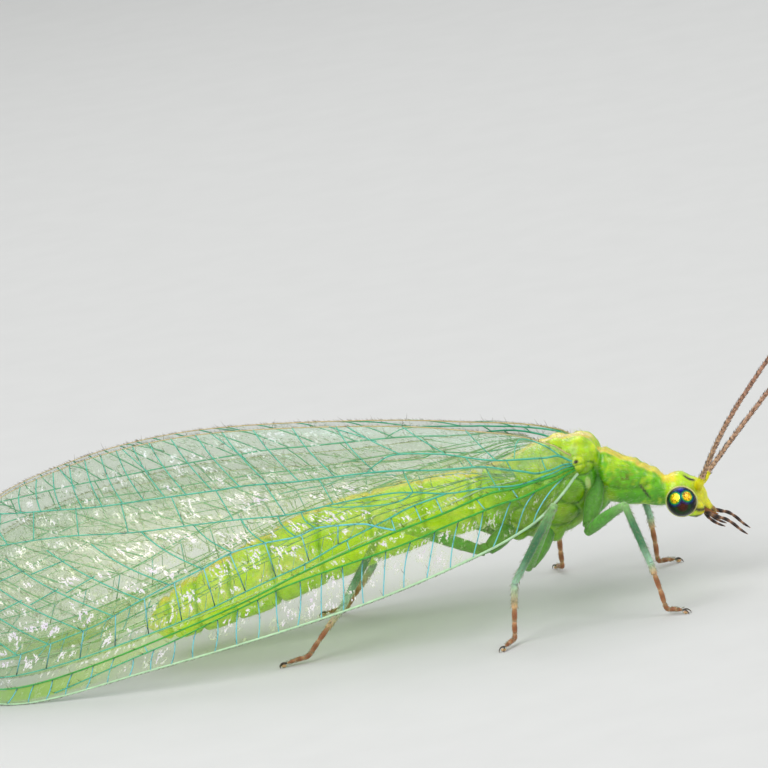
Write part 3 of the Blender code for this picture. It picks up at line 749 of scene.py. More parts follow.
for word, side in (("right", -1), ("left", 1)):
    parts = jointed(mirrored(LONG_PALP, side), 5, PALP_RADIUS, 0.35, PALP_DARK, PALP_PALE)
    parts += jointed(mirrored(SHORT_PALP, side), 3, SHORT_PALP_RADIUS, 0.3, PALP_DARK, PALP_PALE)
    places = np.linspace(0, 1, 10)
    jaw_path = [curve_through(mirrored(JAW, side), place) for place in places]
    jaw, _ = drawn_along(jaw_path, JAW_RADIUS * (1 - 0.85 * places ** 2), PALP_SIDES, JAW_FLAT)
    paint(jaw, linear(LIP_BROWN))
    palps = joined(parts + [jaw], f"mouth_{word}_palps")
    settle(palps, horn, (f"palps_{word}",))


# Legs: hip, a small ring, thigh, shin, a foot of five joints and two claws with a pad. The thigh
# is green, the shin blue-green and the foot reddish brown; short bristles lean down the leg.

LEGS = {                      # hip, ring below it, knee, ankle, heel, toe
    "fore": ((0.25, 0.22, 2.36), (-0.04, 0.86, 1.50), (0.82, 1.50, 2.05), (1.14, 1.80, 0.99),
             (1.30, 1.88, 0.13), (1.60, 1.98, 0.075)),
    "mid": ((-0.74, 0.36, 1.60), (-1.20, 1.14, 1.06), (-0.32, 2.44, 2.44), (-1.28, 2.46, 1.12),
            (-1.45, 2.50, 0.13), (-1.60, 2.82, 0.075)),
    "hind": ((-1.42, 0.34, 1.72), (-1.98, 0.76, 1.38), (-3.70, 0.96, 2.22), (-4.66, 1.36, 0.90),
             (-5.42, 1.64, 0.13), (-5.82, 1.74, 0.075)),
}
LEFT_STEP = {"fore": -0.55, "mid": 0.30, "hind": 0.25}   # the left feet are so far ahead
STEP_SHARES = (0.0, 0.0, 0.3, 0.7, 1.0, 1.0)             # and each station so much of that
HIP_RADIUS, RING_RADIUS, THIGH_RADIUS = 0.17, 0.105, 0.110
SHIN_RADIUS, ANKLE_RADIUS, FOOT_RADIUS = 0.070, 0.0616, 0.050
HIP_SHAPE = (0.55, 0.85, 1.0, 0.92, 0.68)               # thickness along each joint, as shares
RING_SHAPE = (0.8, 1.0, 0.8)
THIGH_SHAPE = (0.74, 1.0, 1.02, 0.92, 0.78, 0.66)
SHIN_SHAPE = (1.05, 0.92, 1.0, 1.0, 0.94, 0.88)
ANKLE_SHAPE = (1.0, 1.0, 0.92)
THIGH_BOW = 0.03
LEG_SIDES = 16
# Stations of a claw from the toe: ahead, aside, up.
CLAW = ((0.0, 0.0, 0.0), (0.07, 0.035, 0.02), (0.13, 0.05, -0.015), (0.135, 0.05, -0.062))
CLAW_RADIUS = 0.019
PAD_SIZE, PAD_AHEAD, PAD_DOWN = (0.05, 0.045, 0.028), 0.06, 0.030
LEG_HAIRS, LEG_HAIR_LENGTH = 200, 0.075                 # on a millimetre of leg
FOOT_HAIRS, FOOT_HAIR_LENGTH = 260, 0.050
LEG_HAIR_GIRTH, LEG_HAIR_OLIVE = 0.0032, "#7C7E4A"
HIP_GREEN, THIGH_GREEN, SHIN_GREEN = "#55981A", "#5CAA32", "#3F7E50"
SHIN_SILVER, KNEE_PALE = "#A9D2B4", "#8CC070"
FOOT_BROWN, FOOT_PALE, CLAW_DARK = "#9A5A30", "#D8A878", "#2A1408"


def colour_run(shares, stops, codes):
    """The linear colour at each of the shares, between codes that stand at the stops."""
    table = np.array([linear(code) for code in codes])
    return np.stack([np.interp(shares, stops, table[:, c]) for c in range(3)], 1)


def limb(start, end, thick, profile, codes, bow=0.0, count=26):
    """One straight or slightly bowed joint of a leg: its thickness follows profile, and its
    colour runs through the codes. Also gives back its path and radii."""
    share = np.linspace(0, 1, count)
    path = start + (end - start) * share[:, None]
    path[:, 2] += bow * np.sin(math.pi * share)
    radii = thick * np.interp(share, np.linspace(0, 1, len(profile)), profile)
    piece, ring = drawn_along(path, radii, LEG_SIDES)
    paint(piece, colour_run(share[ring], np.linspace(0, 1, len(codes)), codes))
    return piece, path, radii


# Leg chitin: matt to silky, fine lengthwise lines of bristle sockets.
leg_chitin, tree, shader, place, _ = marked_material(
    "green_leg_chitin", dict(Scale=12000.0, Detail=3.0), dict(To_Min=0.6, To_Max=1.4),
    Roughness=0.40, Subsurface_Weight=0.35, Subsurface_Radius=(0.5, 1.0, 0.3),
    Subsurface_Scale=0.0002, Sheen_Weight=0.3)
sockets = add(tree, "ShaderNodeTexVoronoi", [("Vector", place)], Scale=24000.0)
bump = add(tree, "ShaderNodeBump", [("Height", sockets.outputs["Distance"])], Strength=0.5,
           Distance=0.00002)
tree.links.new(bump.outputs["Normal"], shader.inputs["Normal"])

for word, side in (("right", -1), ("left", 1)):
    for pair, stations in LEGS.items():
        shift = LEFT_STEP[pair] if side > 0 else 0.0
        hip, below, knee, ankle, heel, toe = [
            np.array((x + shift * share, side * y, z))
            for (x, y, z), share in zip(stations, STEP_SHARES)]
        low = ankle + (heel - ankle) * (0.25 if pair == "fore" else 0.45)
        joints = [
            limb(hip, hip + (below - hip) * 0.90, HIP_RADIUS, HIP_SHAPE,
                 (DEEP_GREEN, HIP_GREEN, HIP_GREEN)),
            limb(below + (hip - below) * 0.18, below + (knee - below) * 0.07, RING_RADIUS,
                 RING_SHAPE, (HIP_GREEN, THIGH_GREEN)),
            limb(below, knee, THIGH_RADIUS, THIGH_SHAPE,
                 (HIP_GREEN, THIGH_GREEN, THIGH_GREEN, KNEE_PALE), THIGH_BOW, 40),
            limb(knee, ankle, SHIN_RADIUS, SHIN_SHAPE,
                 (KNEE_PALE, SHIN_GREEN, SHIN_GREEN, SHIN_SILVER), 0.0, 40),
            limb(ankle, low, ANKLE_RADIUS, ANKLE_SHAPE, (SHIN_SILVER, FOOT_PALE), 0.0, 16),
        ]
        pieces = [piece for piece, _, _ in joints]
        foot = [low, low + (heel - low) * 0.55, heel, (heel + toe) / 2, toe]
        pieces += jointed(foot, 5, FOOT_RADIUS, 0.15, FOOT_BROWN, FOOT_PALE)
        ahead = (toe - heel) / np.linalg.norm(toe - heel)
        across = np.cross(ahead, (0, 0, 1.0))
        for turn in (-1, 1):
            claw = [toe + ahead * forward + across * turn * aside + (0, 0, upward)
                    for forward, aside, upward in CLAW]
            places = np.linspace(0, 1, 10)
            path = [curve_through(claw, place) for place in places]
            hook, _ = drawn_along(path, CLAW_RADIUS * (1 - 0.85 * places), 8)
            paint(hook, linear(CLAW_DARK))
            pieces.append(hook)
        pad = ball(12, 8, location=toe + ahead * PAD_AHEAD - (0, 0, PAD_DOWN), scale=PAD_SIZE)
        paint(pad, linear(FOOT_PALE))
        pieces.append(pad)

        leg = joined(pieces, f"{pair}_leg_{word}_joints")
        leg_points = points_of(leg)
        keep_above(leg_points, 0.0)
        set_points(leg, leg_points)
        settle(leg, leg_chitin, (f"{pair}_leg_{word}",))

        roots, ways, sizes, unwrap = [], [], [], []
        foot_path = np.array([curve_through(foot, place) for place in np.linspace(0.02, 1, 60)])
        grown = [(path, radii, LEG_HAIRS, LEG_HAIR_LENGTH) for _, path, radii in joints[1:]]
        grown.append((foot_path, np.full(60, FOOT_RADIUS * 0.8), FOOT_HAIRS, FOOT_HAIR_LENGTH))
        for stretch, (path, radii, dense, longest) in enumerate(grown):
            number = int(np.linalg.norm(path[-1] - path[0]) * dense)
            picks = chance.integers(0, len(path) - 1, number)
            slide = chance.random(number)[:, None]
            middles = path[picks] * (1 - slide) + path[picks + 1] * slide
            turn = chance.random(number) * math.tau
            outward, along = round_path(path, picks, turn)
            roots.append(middles + outward * radii[picks][:, None] * 0.96)
            ways.append(outward * 0.55 + along)
            sizes.append(longest * (0.6 + 0.6 * chance.random(number)))
            unwrap.append(np.c_[(stretch + picks / len(path)) / len(grown), turn / math.tau])
        hair_points, hair_faces = bristles(np.concatenate(roots), np.concatenate(ways),
                                           np.concatenate(sizes), LEG_HAIR_GIRTH)
        keep_above(hair_points, 0.004)
        coat(f"{pair}_leg_{word}_coat", (hair_points, hair_faces), linear(LEG_HAIR_OLIVE),
             np.concatenate(unwrap), leg_chitin, (f"{pair}_leg_{word}",))


# Wings: a clear skin a few thousandths of a millimetre thick, stretched over a net of hollow
# veins and folded like a roof. Each cell of the net bulges on its own, so the light breaks in it,
# and glints are painted across the cells besides.

COSTAL_EDGE = (               # x, distance from the middle plane, height
    (-0.05, 0.74, 2.58), (-0.69, 1.12, 2.08), (-1.54, 1.46, 1.66), (-3.43, 2.00, 1.20),
    (-5.35, 2.24, 0.86), (-8.25, 2.22, 0.42), (-10.90, 1.72, 0.02), (-12.30, 1.10, 0.44),
    (-12.91, 0.66, 1.30),
)
HIND_EDGE = (
    (-0.12, 0.66, 2.92), (-1.43, 0.38, 3.42), (-3.23, 0.24, 3.83), (-5.98, 0.20, 4.16),
    (-7.84, 0.20, 4.20), (-9.57, 0.20, 3.96), (-11.20, 0.24, 3.42), (-12.45, 0.42, 2.42),
    (-12.91, 0.66, 1.30),
)
BELLY_OF_WING = 0.62          # how far a wing bulges outward at mid-chord
HIND_LAYER = 0.55             # the hindwing lies this far inside the forewing
HIND_ROOT_LAYER = 0.16        # and at its root
HINDWING = (                  # place along the forewing, lower and upper edge as shares of chord
    (0.130, 0.42, 0.56), (0.200, 0.38, 0.66), (0.300, 0.33, 0.74), (0.420, 0.26, 0.80),
    (0.560, 0.19, 0.84), (0.700, 0.15, 0.85), (0.800, 0.16, 0.80), (0.860, 0.21, 0.68),
    (0.890, 0.32, 0.52),
)
# Long veins as place along the wing and share of the chord.
LONG_VEINS = {
    "costa": ((0.00, 0.0), (0.25, 0.0), (0.50, 0.0), (0.75, 0.0), (1.00, 0.0)),
    "subcosta": ((0.00, 0.24), (0.06, 0.24), (0.18, 0.215), (0.275, 0.20), (0.335, 0.178),
                 (0.44, 0.17), (0.49, 0.16), (0.53, 0.135), (0.57, 0.105), (0.60, 0.082),
                 (0.65, 0.055), (0.71, 0.02)),
    "radius": ((0.00, 0.36), (0.07, 0.34), (0.125, 0.325), (0.185, 0.31), (0.24, 0.29),
               (0.285, 0.265), (0.35, 0.24), (0.46, 0.195), (0.53, 0.15), (0.59, 0.115),
               (0.65, 0.088), (0.73, 0.075), (0.81, 0.07), (0.89, 0.055), (0.97, 0.02)),
    "sector": ((0.262, 0.378), (0.305, 0.35), (0.33, 0.32), (0.36, 0.292), (0.40, 0.262),
               (0.445, 0.228), (0.49, 0.207), (0.53, 0.183), (0.56, 0.162), (0.60, 0.142),
               (0.66, 0.128), (0.74, 0.13), (0.83, 0.13), (0.92, 0.11), (0.985, 0.07)),
    "zigzag": ((0.335, 0.255), (0.345, 0.29), (0.355, 0.325), (0.378, 0.35), (0.403, 0.365),
               (0.432, 0.35), (0.47, 0.36), (0.508, 0.36), (0.542, 0.33), (0.575, 0.305),
               (0.604, 0.28), (0.634, 0.25), (0.665, 0.232), (0.73, 0.22), (0.81, 0.205),
               (0.90, 0.19), (0.98, 0.15)),
    "media": ((0.00, 0.47), (0.06, 0.39), (0.12, 0.345), (0.205, 0.352), (0.24, 0.362),
              (0.265, 0.38), (0.292, 0.43), (0.315, 0.455), (0.365, 0.46), (0.42, 0.46),
              (0.485, 0.50), (0.515, 0.52), (0.568, 0.56), (0.60, 0.595), (0.645, 0.655),
              (0.70, 0.72), (0.76, 0.79), (0.83, 0.88), (0.89, 1.0)),
    "cubitus": ((0.00, 0.56), (0.05, 0.47), (0.085, 0.44), (0.115, 0.495), (0.165, 0.55),
                (0.217, 0.54), (0.255, 0.555), (0.30, 0.60), (0.375, 0.62), (0.435, 0.65),
                (0.48, 0.662), (0.54, 0.695), (0.605, 0.745), (0.667, 0.825), (0.72, 0.91),
                (0.755, 1.0)),
    "anal": ((0.00, 0.66), (0.022, 0.76), (0.06, 0.69), (0.113, 0.645), (0.188, 0.637),
             (0.235, 0.69), (0.278, 0.715), (0.30, 0.66), (0.315, 0.605)),
    "anal_loop": ((0.022, 0.77), (0.045, 0.93), (0.09, 0.95), (0.115, 0.66)),
    "median_cell": ((0.292, 0.43), (0.308, 0.398), (0.328, 0.40), (0.36, 0.435),
                    (0.375, 0.46)),
    "hind_margin": ((0.00, 1.0), (0.25, 1.0), (0.50, 1.0), (0.75, 1.0), (1.00, 1.0)),
}
LONG_SIZES = {"costa": 0.023, "subcosta": 0.018, "radius": 0.020, "sector": 0.0145,
              "zigzag": 0.0145, "media": 0.0145, "cubitus": 0.017, "anal": 0.017,
              "anal_loop": 0.013, "median_cell": 0.013, "hind_margin": 0.010}
# Where cross veins stand, as places along the wing: rungs between two long veins, branches
# from the zigzag vein to the media.
SUBCOSTA_RUNGS = (0.155, 0.235, 0.62)
SECTOR_RUNGS = (0.283, 0.307, 0.335, 0.39, 0.455)
BRANCHES = (0.403, 0.432, 0.47, 0.508, 0.542, 0.575, 0.604, 0.634, 0.665, 0.70, 0.735, 0.775,
            0.815, 0.855, 0.90)
MEDIA_RUNGS = (0.185, 0.292, 0.365, 0.422, 0.482, 0.532, 0.585, 0.635, 0.685, 0.73)
ANAL_RUNGS = (0.06, 0.13, 0.20)
CROSS_SIZE = 0.0110
VEIN_SIDES = 7
HINDWING_VEINS = 0.55         # size of its veins as a share of the forewing's
HINDWING_PALE = 0.60          # and how much paler they are
HINDWING_VEIL, HINDWING_SPARKLE = 0.6, 0.3              # its membrane against the forewing's
ROOT_LIFT = 0.36              # the hinge stands out so far from the wing's own surface
ROOT_LOBE = 0.10              # and the hind edge rises so far over the thorax
VEIN_GREEN, VEIN_TEAL, VEIN_CYAN = "#3FA83C", "#52B79C", "#78D0DE"
VEIN_PALE, VEIN_DARK, VEIN_SAND = "#B9DDB4", "#16221A", "#C9B283"
# the second colour tints the skin over the abdomen: a painted glow of the abdomen behind
MILKY_GREEN, ABDOMEN_GLOW_LIME, STIGMA_LIME = "#A2BE8A", "#C4EE58", "#9CCB48"
BAND_LIME, HEM_GREEN, WING_BRISTLE = "#BCEC1A", "#86C23C", "#42301C"
# white and rainbow tints of the painted glints
FILM_TINTS = "#FBEBD8", "#FFFFFF", "#F1E6FA"
MEMBRANE_GRID = {"forewing": (300, 96), "hindwing": (220, 64)}
CELL_BULGE, CELL_REACH = 0.045, 0.10                    # height, and distance from the veins
WRINKLE, WRINKLE_REACH = 0.007, 0.06
FRINGE, FRINGE_GIRTH = 60, 0.0028                       # bristles on a millimetre of edge
VEIN_BRISTLES, VEIN_BRISTLE_GIRTH = 5, 0.0046           # and of vein
WING_LENGTH, WING_DEPTH = 13.0, 4.0                     # of the crinkle pattern, in millimetres
HIND_PATTERN = 3.0                                      # and so far off in it for the hindwing


def wing_points(place, shares, inward):
    """Points across the wing at one place, y counted outward, so far inside its surface."""
    costal, hind = curve_through(COSTAL_EDGE, place), curve_through(HIND_EDGE, place)
    hind[2] += ROOT_LOBE * rise(place, 0.0, 0.03) * (1 - rise(place, 0.05, 0.20))
    across = hind - costal
    out = np.array((0.0, across[2], -across[1]))
    out /= max(np.linalg.norm(out), 1e-6)
    swell = min(1.0, place * 5.0) * min(1.0, (1.0 - place) * 5.0)
    shares = np.asarray(shares, float)
    bulge = BELLY_OF_WING * 4.0 * shares * (1.0 - shares) * swell
    points = costal + across * shares[:, None] + out * (bulge - inward)[:, None]
    hinge = rise(place, 0.0, 0.05) * (1 - rise(place, 0.13, 0.23))
    points[:, 1] += ROOT_LIFT * hinge * (1 - rise(shares, 0.5, 1.1))
    return points


def vein_share(name, place):
    return float(at_key(LONG_VEINS[name], place)[0])


def place_at(x):
    """The place along the wing at which the costal edge has this x."""
    stations = [-station[0] for station in COSTAL_EDGE]
    return float(np.interp(-x, stations, np.linspace(0, 1, len(stations))))


def wing_net():
    """All veins of a wing as (line in the wing plan, radius at each point, start, middle and
    end colour). The plan's axes are place along the wing and share of the chord."""
    net = []
    soft = (VEIN_TEAL,) * 3
    codes = {"costa": (VEIN_PALE,) * 3, "subcosta": (VEIN_GREEN, VEIN_GREEN, VEIN_TEAL),
             "radius": (VEIN_GREEN, VEIN_GREEN, VEIN_TEAL), "hind_margin": (VEIN_SAND,) * 3,
             "zigzag": (VEIN_CYAN, VEIN_TEAL, VEIN_TEAL)}
    for name, stations in LONG_VEINS.items():
        line = np.array([curve_through(stations, place) for place in np.linspace(0, 1, 110)])
        taper = np.linspace(1.25, 0.65, len(line))
        net.append((line, LONG_SIZES[name] * taper, codes.get(name, soft)))

    def cross(start, end, ends=(VEIN_CYAN, VEIN_CYAN, VEIN_DARK), sag=0.0, size=CROSS_SIZE):
        """Adds a short vein between two spots of the plan, bowed a little."""
        start, end = np.array(start), np.array(end)
        reach = abs(end - start) @ (14, 4)          # about its length in millimetres
        share = np.linspace(0, 1, max(5, int(reach / 0.10)))
        line = start + np.outer(share, end - start)
        line[:, 0] += sag * np.sin(math.pi * share)
        net.append((line, np.full(len(share), size), ends))

    # the ladder between the front edge and the subcosta, leaning toward the head
    for number, x in enumerate(np.arange(-0.95, -11.9, -0.405)):
        foot = place_at(x)
        long_vein = "subcosta" if foot < 0.66 else "radius"
        top = place_at(x + 3.6 * vein_share(long_vein, foot))
        cross((foot, 0.0), (top, vein_share(long_vein, top)), sag=0.0012 * (-1) ** number)
    # rungs between subcosta, radius and sector
    for place in SUBCOSTA_RUNGS:
        cross((place, vein_share("subcosta", place)), (place, vein_share("radius", place)))
    for place in SECTOR_RUNGS:
        cross((place, vein_share("radius", place)), (place - 0.006, vein_share("sector", place)))
    # rungs between sector and zigzag
    for x in np.arange(-3.75, -12.2, -0.70):
        foot = place_at(x)
        top = place_at(x + 0.26)
        cross((foot, vein_share("sector", foot)), (top, vein_share("zigzag", top)),
              (VEIN_DARK, VEIN_CYAN, VEIN_CYAN))
    # branches from the zigzag to the media, more and more along the wing toward its tip
    branches = []
    for place in BRANCHES:
        foot = place + 0.16 * rise(place, 0.44, 0.80)
        share = vein_share("zigzag", place)
        along = vein_share("media", foot) if foot < 0.885 else 1.0
        reach = 1.0 if place < 0.56 else 0.86
        start = np.array((place, share))
        end = np.array((min(foot, 0.985), share + (along - share) * reach))
        branches.append((start, end))
        cross(start, end, soft, 0.004, CROSS_SIZE * 1.15)
    # and two rungs from each outer branch to the next
    for (start, end), (next_start, next_end) in zip(branches[6:], branches[7:]):
        for depth in (0.45, 0.78):
            cross(start + (end - start) * depth,
                  next_start + (next_end - next_start) * (depth - 0.07), soft)
    # rungs between media and cubitus
    for place in MEDIA_RUNGS:
        top = place - 0.008
        cross((place, vein_share("media", place)), (top, vein_share("cubitus", top)), soft)
    cross((0.185, vein_share("radius", 0.185)), (0.18, vein_share("media", 0.18)))
    # comb from anal vein, cubitus and media to the hind edge
    for number, x in enumerate(np.arange(-0.85, -10.6, -0.52)):
        foot = place_at(x)
        low = "anal" if foot < 0.29 else "cubitus" if foot < 0.70 else "media"
        if foot > 0.87:
            continue
        lean = {"anal": 0.022, "cubitus": -0.004, "media": 0.02}[low]
        start, end = np.array((foot, vein_share(low, foot))), np.array((foot + lean, 1.0))
        cross(start, end, soft, 0.003)
        if number % 4 == 2:
            cross(start + (end - start) * 0.45, (end[0] + 0.014, 1.0), soft, 0.0,
                  CROSS_SIZE * 0.9)
    for place in ANAL_RUNGS:
        cross((place, vein_share("cubitus", place)), (place, vein_share("anal", place)), soft)
    return net


def tubes(lines):
    """Points, faces and colours of round tubes along (line, radii, three codes), in space."""
    points, faces, colours, start = [], [], [], 0
    sides = VEIN_SIDES
    angles = np.arange(sides) * math.tau / sides
    for line, radii, codes in lines:
        across, up = frames_along(line)
        rings = (line[:, None] + (across[:, None] * np.cos(angles)[None, :, None]
                 + up[:, None] * np.sin(angles)[None, :, None]) * radii[:, None, None])
        count = len(line)
        points.append(rings.reshape(-1, 3))
        for ring in range(count - 1):
            for corner in range(sides):
                after = (corner + 1) % sides
                base = start + ring * sides
                faces.append((base + corner, base + after, base + after + sides,
                              base + corner + sides))
        faces.append(tuple(start + c for c in range(sides))[::-1])
        faces.append(tuple(start + (count - 1) * sides + c for c in range(sides)))
        colour = colour_run(np.linspace(0, 1, count), (0, 0.75, 1), codes)
        colours.append(np.repeat(colour, sides, axis=0))
        start += count * sides
    return np.concatenate(points), faces, np.concatenate(colours)


# Clear wing skin: nearly colourless, crinkled, with painted glints that lie across each cell, in
# painted rainbow tints, and faint rainbow films on its gloss. Plan counts millimetres along the
# wing and across it, along the rungs.
clear, tree, shader = material("clear_wing_skin", Roughness=0.17, Specular_IOR_Level=0.9,
                               Thin_Film_Thickness=380.0, Thin_Film_IOR=1.56)
plan = add(tree, "ShaderNodeAttribute", attribute_name="Plan").outputs["Vector"]
across = add(tree, "ShaderNodeMapping", [("Vector", plan)], Scale=(1.0, 0.36, 1.0))
crinkle = add(tree, "ShaderNodeTexNoise", [("Vector", across.outputs["Vector"])],
              Scale=19.0, Detail=3.0, Roughness=0.6)          # creases 0.05 mm apart
clump = add(tree, "ShaderNodeTexNoise", [("Vector", plan)], Scale=2.8, Detail=2.0)
creases = add(tree, "ShaderNodeMapRange", [("Value", crinkle.outputs["Fac"])], From_Min=0.50,
              From_Max=0.55)
clumps = add(tree, "ShaderNodeMapRange", [("Value", clump.outputs["Fac"])], From_Min=0.47,
             From_Max=0.55)
sparkle = add(tree, "ShaderNodeAttribute", attribute_name="Sparkle").outputs["Fac"]
veil = add(tree, "ShaderNodeAttribute", attribute_name="Veil").outputs["Fac"]
tint = add(tree, "ShaderNodeAttribute", attribute_name="Markings").outputs["Color"]
grain = add(tree, "ShaderNodeTexNoise", [("Vector", plan)], Scale=34.0, Detail=1.0)
broken = add(tree, "ShaderNodeMapRange", [("Value", grain.outputs["Fac"])], From_Min=0.40,
             From_Max=0.48)
# painted glints: broken dashes along the crinkles, in clumps, as strong as Sparkle, near opaque
dashes = add(tree, "ShaderNodeMath", [(0, creases.outputs["Result"]),
             (1, broken.outputs["Result"])], operation="MULTIPLY")
in_clump = add(tree, "ShaderNodeMath", [(0, dashes.outputs["Value"]),
               (1, clumps.outputs["Result"])], operation="MULTIPLY")
glint = add(tree, "ShaderNodeMath", [(0, in_clump.outputs["Value"]), (1, sparkle)],
            operation="MULTIPLY", use_clamp=True)
opaque = add(tree, "ShaderNodeMath", [(0, glint.outputs["Value"]), (2, veil)],
             operation="MULTIPLY_ADD", use_clamp=True)
opaque.inputs[1].default_value = 0.95
tree.links.new(opaque.outputs["Value"], shader.inputs["Alpha"])
# the painted glints take white and rainbow tints from the clumps
film = add(tree, "ShaderNodeValToRGB", [("Fac", clump.outputs["Fac"])])
film.color_ramp.elements.new(0.5)
for element, position, code in zip(film.color_ramp.elements, (0.35, 0.5, 0.65), FILM_TINTS):
    element.position, element.color = position, (*linear(code), 1)
colour = add(tree, "ShaderNodeMix", [(0, glint.outputs["Value"]), (6, tint),
             (7, film.outputs["Color"])], data_type="RGBA")
tree.links.new(colour.outputs[2], shader.inputs["Base Color"])
bump = add(tree, "ShaderNodeBump", [("Height", crinkle.outputs["Fac"])], Strength=0.28,
           Distance=0.00004)
tree.links.new(bump.outputs["Normal"], shader.inputs["Normal"])

# Veins: hollow tubes of tougher chitin, silky, blue-green with dark ends.
vein_chitin, *_ = marked_material(
    "vein_chitin", dict(Scale=6000.0, Detail=2.0), dict(To_Min=0.7, To_Max=1.4),
    Roughness=0.34, Subsurface_Weight=0.2, Subsurface_Radius=(0.6, 1.0, 0.6),
    Subsurface_Scale=0.0001)

plan_net = wing_net()
for pair in ("forewing", "hindwing"):
    behind = pair == "hindwing"

    def spot(place, share):
        """The plan's place and share as place along the forewing, share of its chord, layer."""
        if not behind:
            return place, share, 0.0
        whole = HINDWING[0][0] + (HINDWING[-1][0] - HINDWING[0][0]) * place
        low, high = at_key(HINDWING, whole)
        deep = HIND_ROOT_LAYER + (HIND_LAYER - HIND_ROOT_LAYER) * rise(whole, 0.16, 0.36)
        return whole, low + (high - low) * share, deep

    def in_space(line):
        """A plan line as points of the right wing."""
        found = []
        for place, share in line:
            whole, across, layer = spot(float(np.clip(place, 0, 1)), float(np.clip(share, 0, 1)))
            found.append(wing_points(whole, [across], layer)[0])
        return np.array(found) * (1, -1, 1)

    lines = [(in_space(line), radii * (HINDWING_VEINS if behind else 1.0), codes)
             for line, radii, codes in plan_net]
    marks = KDTree(sum(4 * (len(line) - 1) for line, _, _ in lines))
    for line, _, _ in lines:
        for start, end in zip(line, line[1:]):
            for share in (0.0, 0.25, 0.5, 0.75):
                marks.insert(Vector(start + (end - start) * share), 0)
    marks.balance()

    rows, across_lines = MEMBRANE_GRID[pair]
    bpy.ops.mesh.primitive_grid_add(x_subdivisions=rows, y_subdivisions=across_lines, size=1.0)
    membrane = bpy.context.object
    plan = points_of(membrane)
    order = np.lexsort((plan[:, 1], np.round(plan[:, 0], 6)))
    places = np.round(plan[order][:, 0], 6) + 0.5
    shares = plan[order][:, 1] + 0.5
    sheet = np.empty_like(plan)
    for place in np.unique(places):
        row = places == place
        whole, low, layer = spot(place, 0.0)
        _, high, _ = spot(place, 1.0)
        sheet[row] = wing_points(whole, low + (high - low) * shares[row], layer)
    sheet *= (1, -1, 1)
    points = np.empty_like(plan)
    points[order] = sheet
    away = np.array([marks.find(Vector(p))[2] for p in points])
    quilt = (CELL_BULGE * np.tanh(away / CELL_REACH) * fractal(points, 0.55, 5)
             + WRINKLE * np.tanh(away / WRINKLE_REACH) * fractal(points, 0.16, 6))
    set_points(membrane, points)
    points = points + normals_of(membrane) * quilt[:, None]
    keep_above(points, 0.012)
    net_points, net_faces, net_colours = tubes(lines)
    keep_above(net_points, 0.0)
    if behind:
        net_colours = net_colours * (1 - HINDWING_PALE) \
            + np.array(linear(MILKY_GREEN)) * HINDWING_PALE

    # bristles: a fringe that points away from the wing's middle, and short dark ones on the veins
    middle = curve_through((np.array(COSTAL_EDGE) + HIND_EDGE) / 2, 0.5) * (1, -1, 1)
    roots, ways, sizes, girths, unwrap = [], [], [], [], []
    for (line, radii, codes), (plan_line, _, _) in zip(lines, plan_net):
        edge = codes[0] in (VEIN_PALE, VEIN_SAND)
        length = np.linalg.norm(np.diff(line, axis=0), axis=1).sum()
        number = int(length * (FRINGE if edge else VEIN_BRISTLES))
        picks = chance.integers(0, len(line) - 1, number)
        slide = chance.random(number)[:, None]
        spots = line[picks] * (1 - slide) + line[picks + 1] * slide
        along = unit(line[picks + 1] - line[picks])
        if edge:
            away_from = spots - middle
            outward = unit(away_from - along * (away_from * along).sum(1)[:, None])
            ways.append(outward * 0.8 + along * 0.9)
            sizes.append((0.06 if codes[0] == VEIN_PALE else 0.04) + 0.04 * chance.random(number))
        else:
            ways.append(np.array((0.0, -0.5, 0.3)) + along * 0.9
                        + chance.normal(0, 0.45, (number, 3)))
            sizes.append(0.10 + 0.10 * chance.random(number))
        girths.append(np.full((number, 1), FRINGE_GIRTH if edge else VEIN_BRISTLE_GIRTH))
        roots.append(spots)
        unwrap.append(np.clip(plan_line[picks], 0, 1))
    unwrap = np.concatenate(unwrap)
    hair_points, hair_faces = bristles(np.concatenate(roots), np.concatenate(ways),
                                       np.concatenate(sizes), np.concatenate(girths))
    keep_above(hair_points, 0.003)

    # how milky and how full of painted glints each spot is: clearer from the root over the abdomen
    # and tinted lime there, a painted glow of the abdomen behind, lime between subcosta and radius,
    # a green hem at the tip and an opaque spot near it
    spots = plan + 0.5
    place, share = spots[:, 0], spots[:, 1]
    steps = np.linspace(0, 1, 101)
    at = {name: np.interp(place, steps, [vein_share(name, step) for step in steps])
          for name in ("subcosta", "radius", "sector")}
    band = (share > at["subcosta"]) * (share < np.where(place > 0.27, at["sector"], at["radius"]))
    band = band * (1 - rise(place, 0.60, 0.75)) * rise(place, 0.05, 0.2)
    stigma = hump(place, 0.72, 0.055) * (share > 0.012) * (share < at["radius"])
    low = (1 - rise(share, 0.35, 0.60)) * (1 - rise(place, 0.60, 0.80))
    tip = rise(place, 0.58, 0.84) * (share < at["radius"])
    veil = 0.24 - 0.18 * low + 0.08 * np.exp(-(away / 0.06) ** 2)
    veil += 0.24 * band + 0.40 * stigma + 0.38 * tip
    sparkle = (0.5 + 0.5 * rise(place, 0.20, 0.45)) * rise(away, 0.015, 0.12)
    sparkle *= (1 - 0.7 * stigma) * (1 - 0.7 * tip) * (1.5 - 0.7 * rise(share, 0.35, 0.70))
    tints = np.tile(linear(MILKY_GREEN), (len(points), 1))
    for code, amount in ((ABDOMEN_GLOW_LIME, low * 0.7), (BAND_LIME, band), (HEM_GREEN, tip * 0.9),
                         (STIGMA_LIME, stigma * 0.8)):
        tints = tints * (1 - amount[:, None]) + np.outer(amount, linear(code))
    if behind:
        veil, sparkle = veil * HINDWING_VEIL, sparkle * HINDWING_SPARKLE
    paint(membrane, tints)
    for name, values in (("Veil", veil), ("Sparkle", sparkle)):
        membrane.data.attributes.new(name, "FLOAT", "POINT").data.foreach_set("value", values)
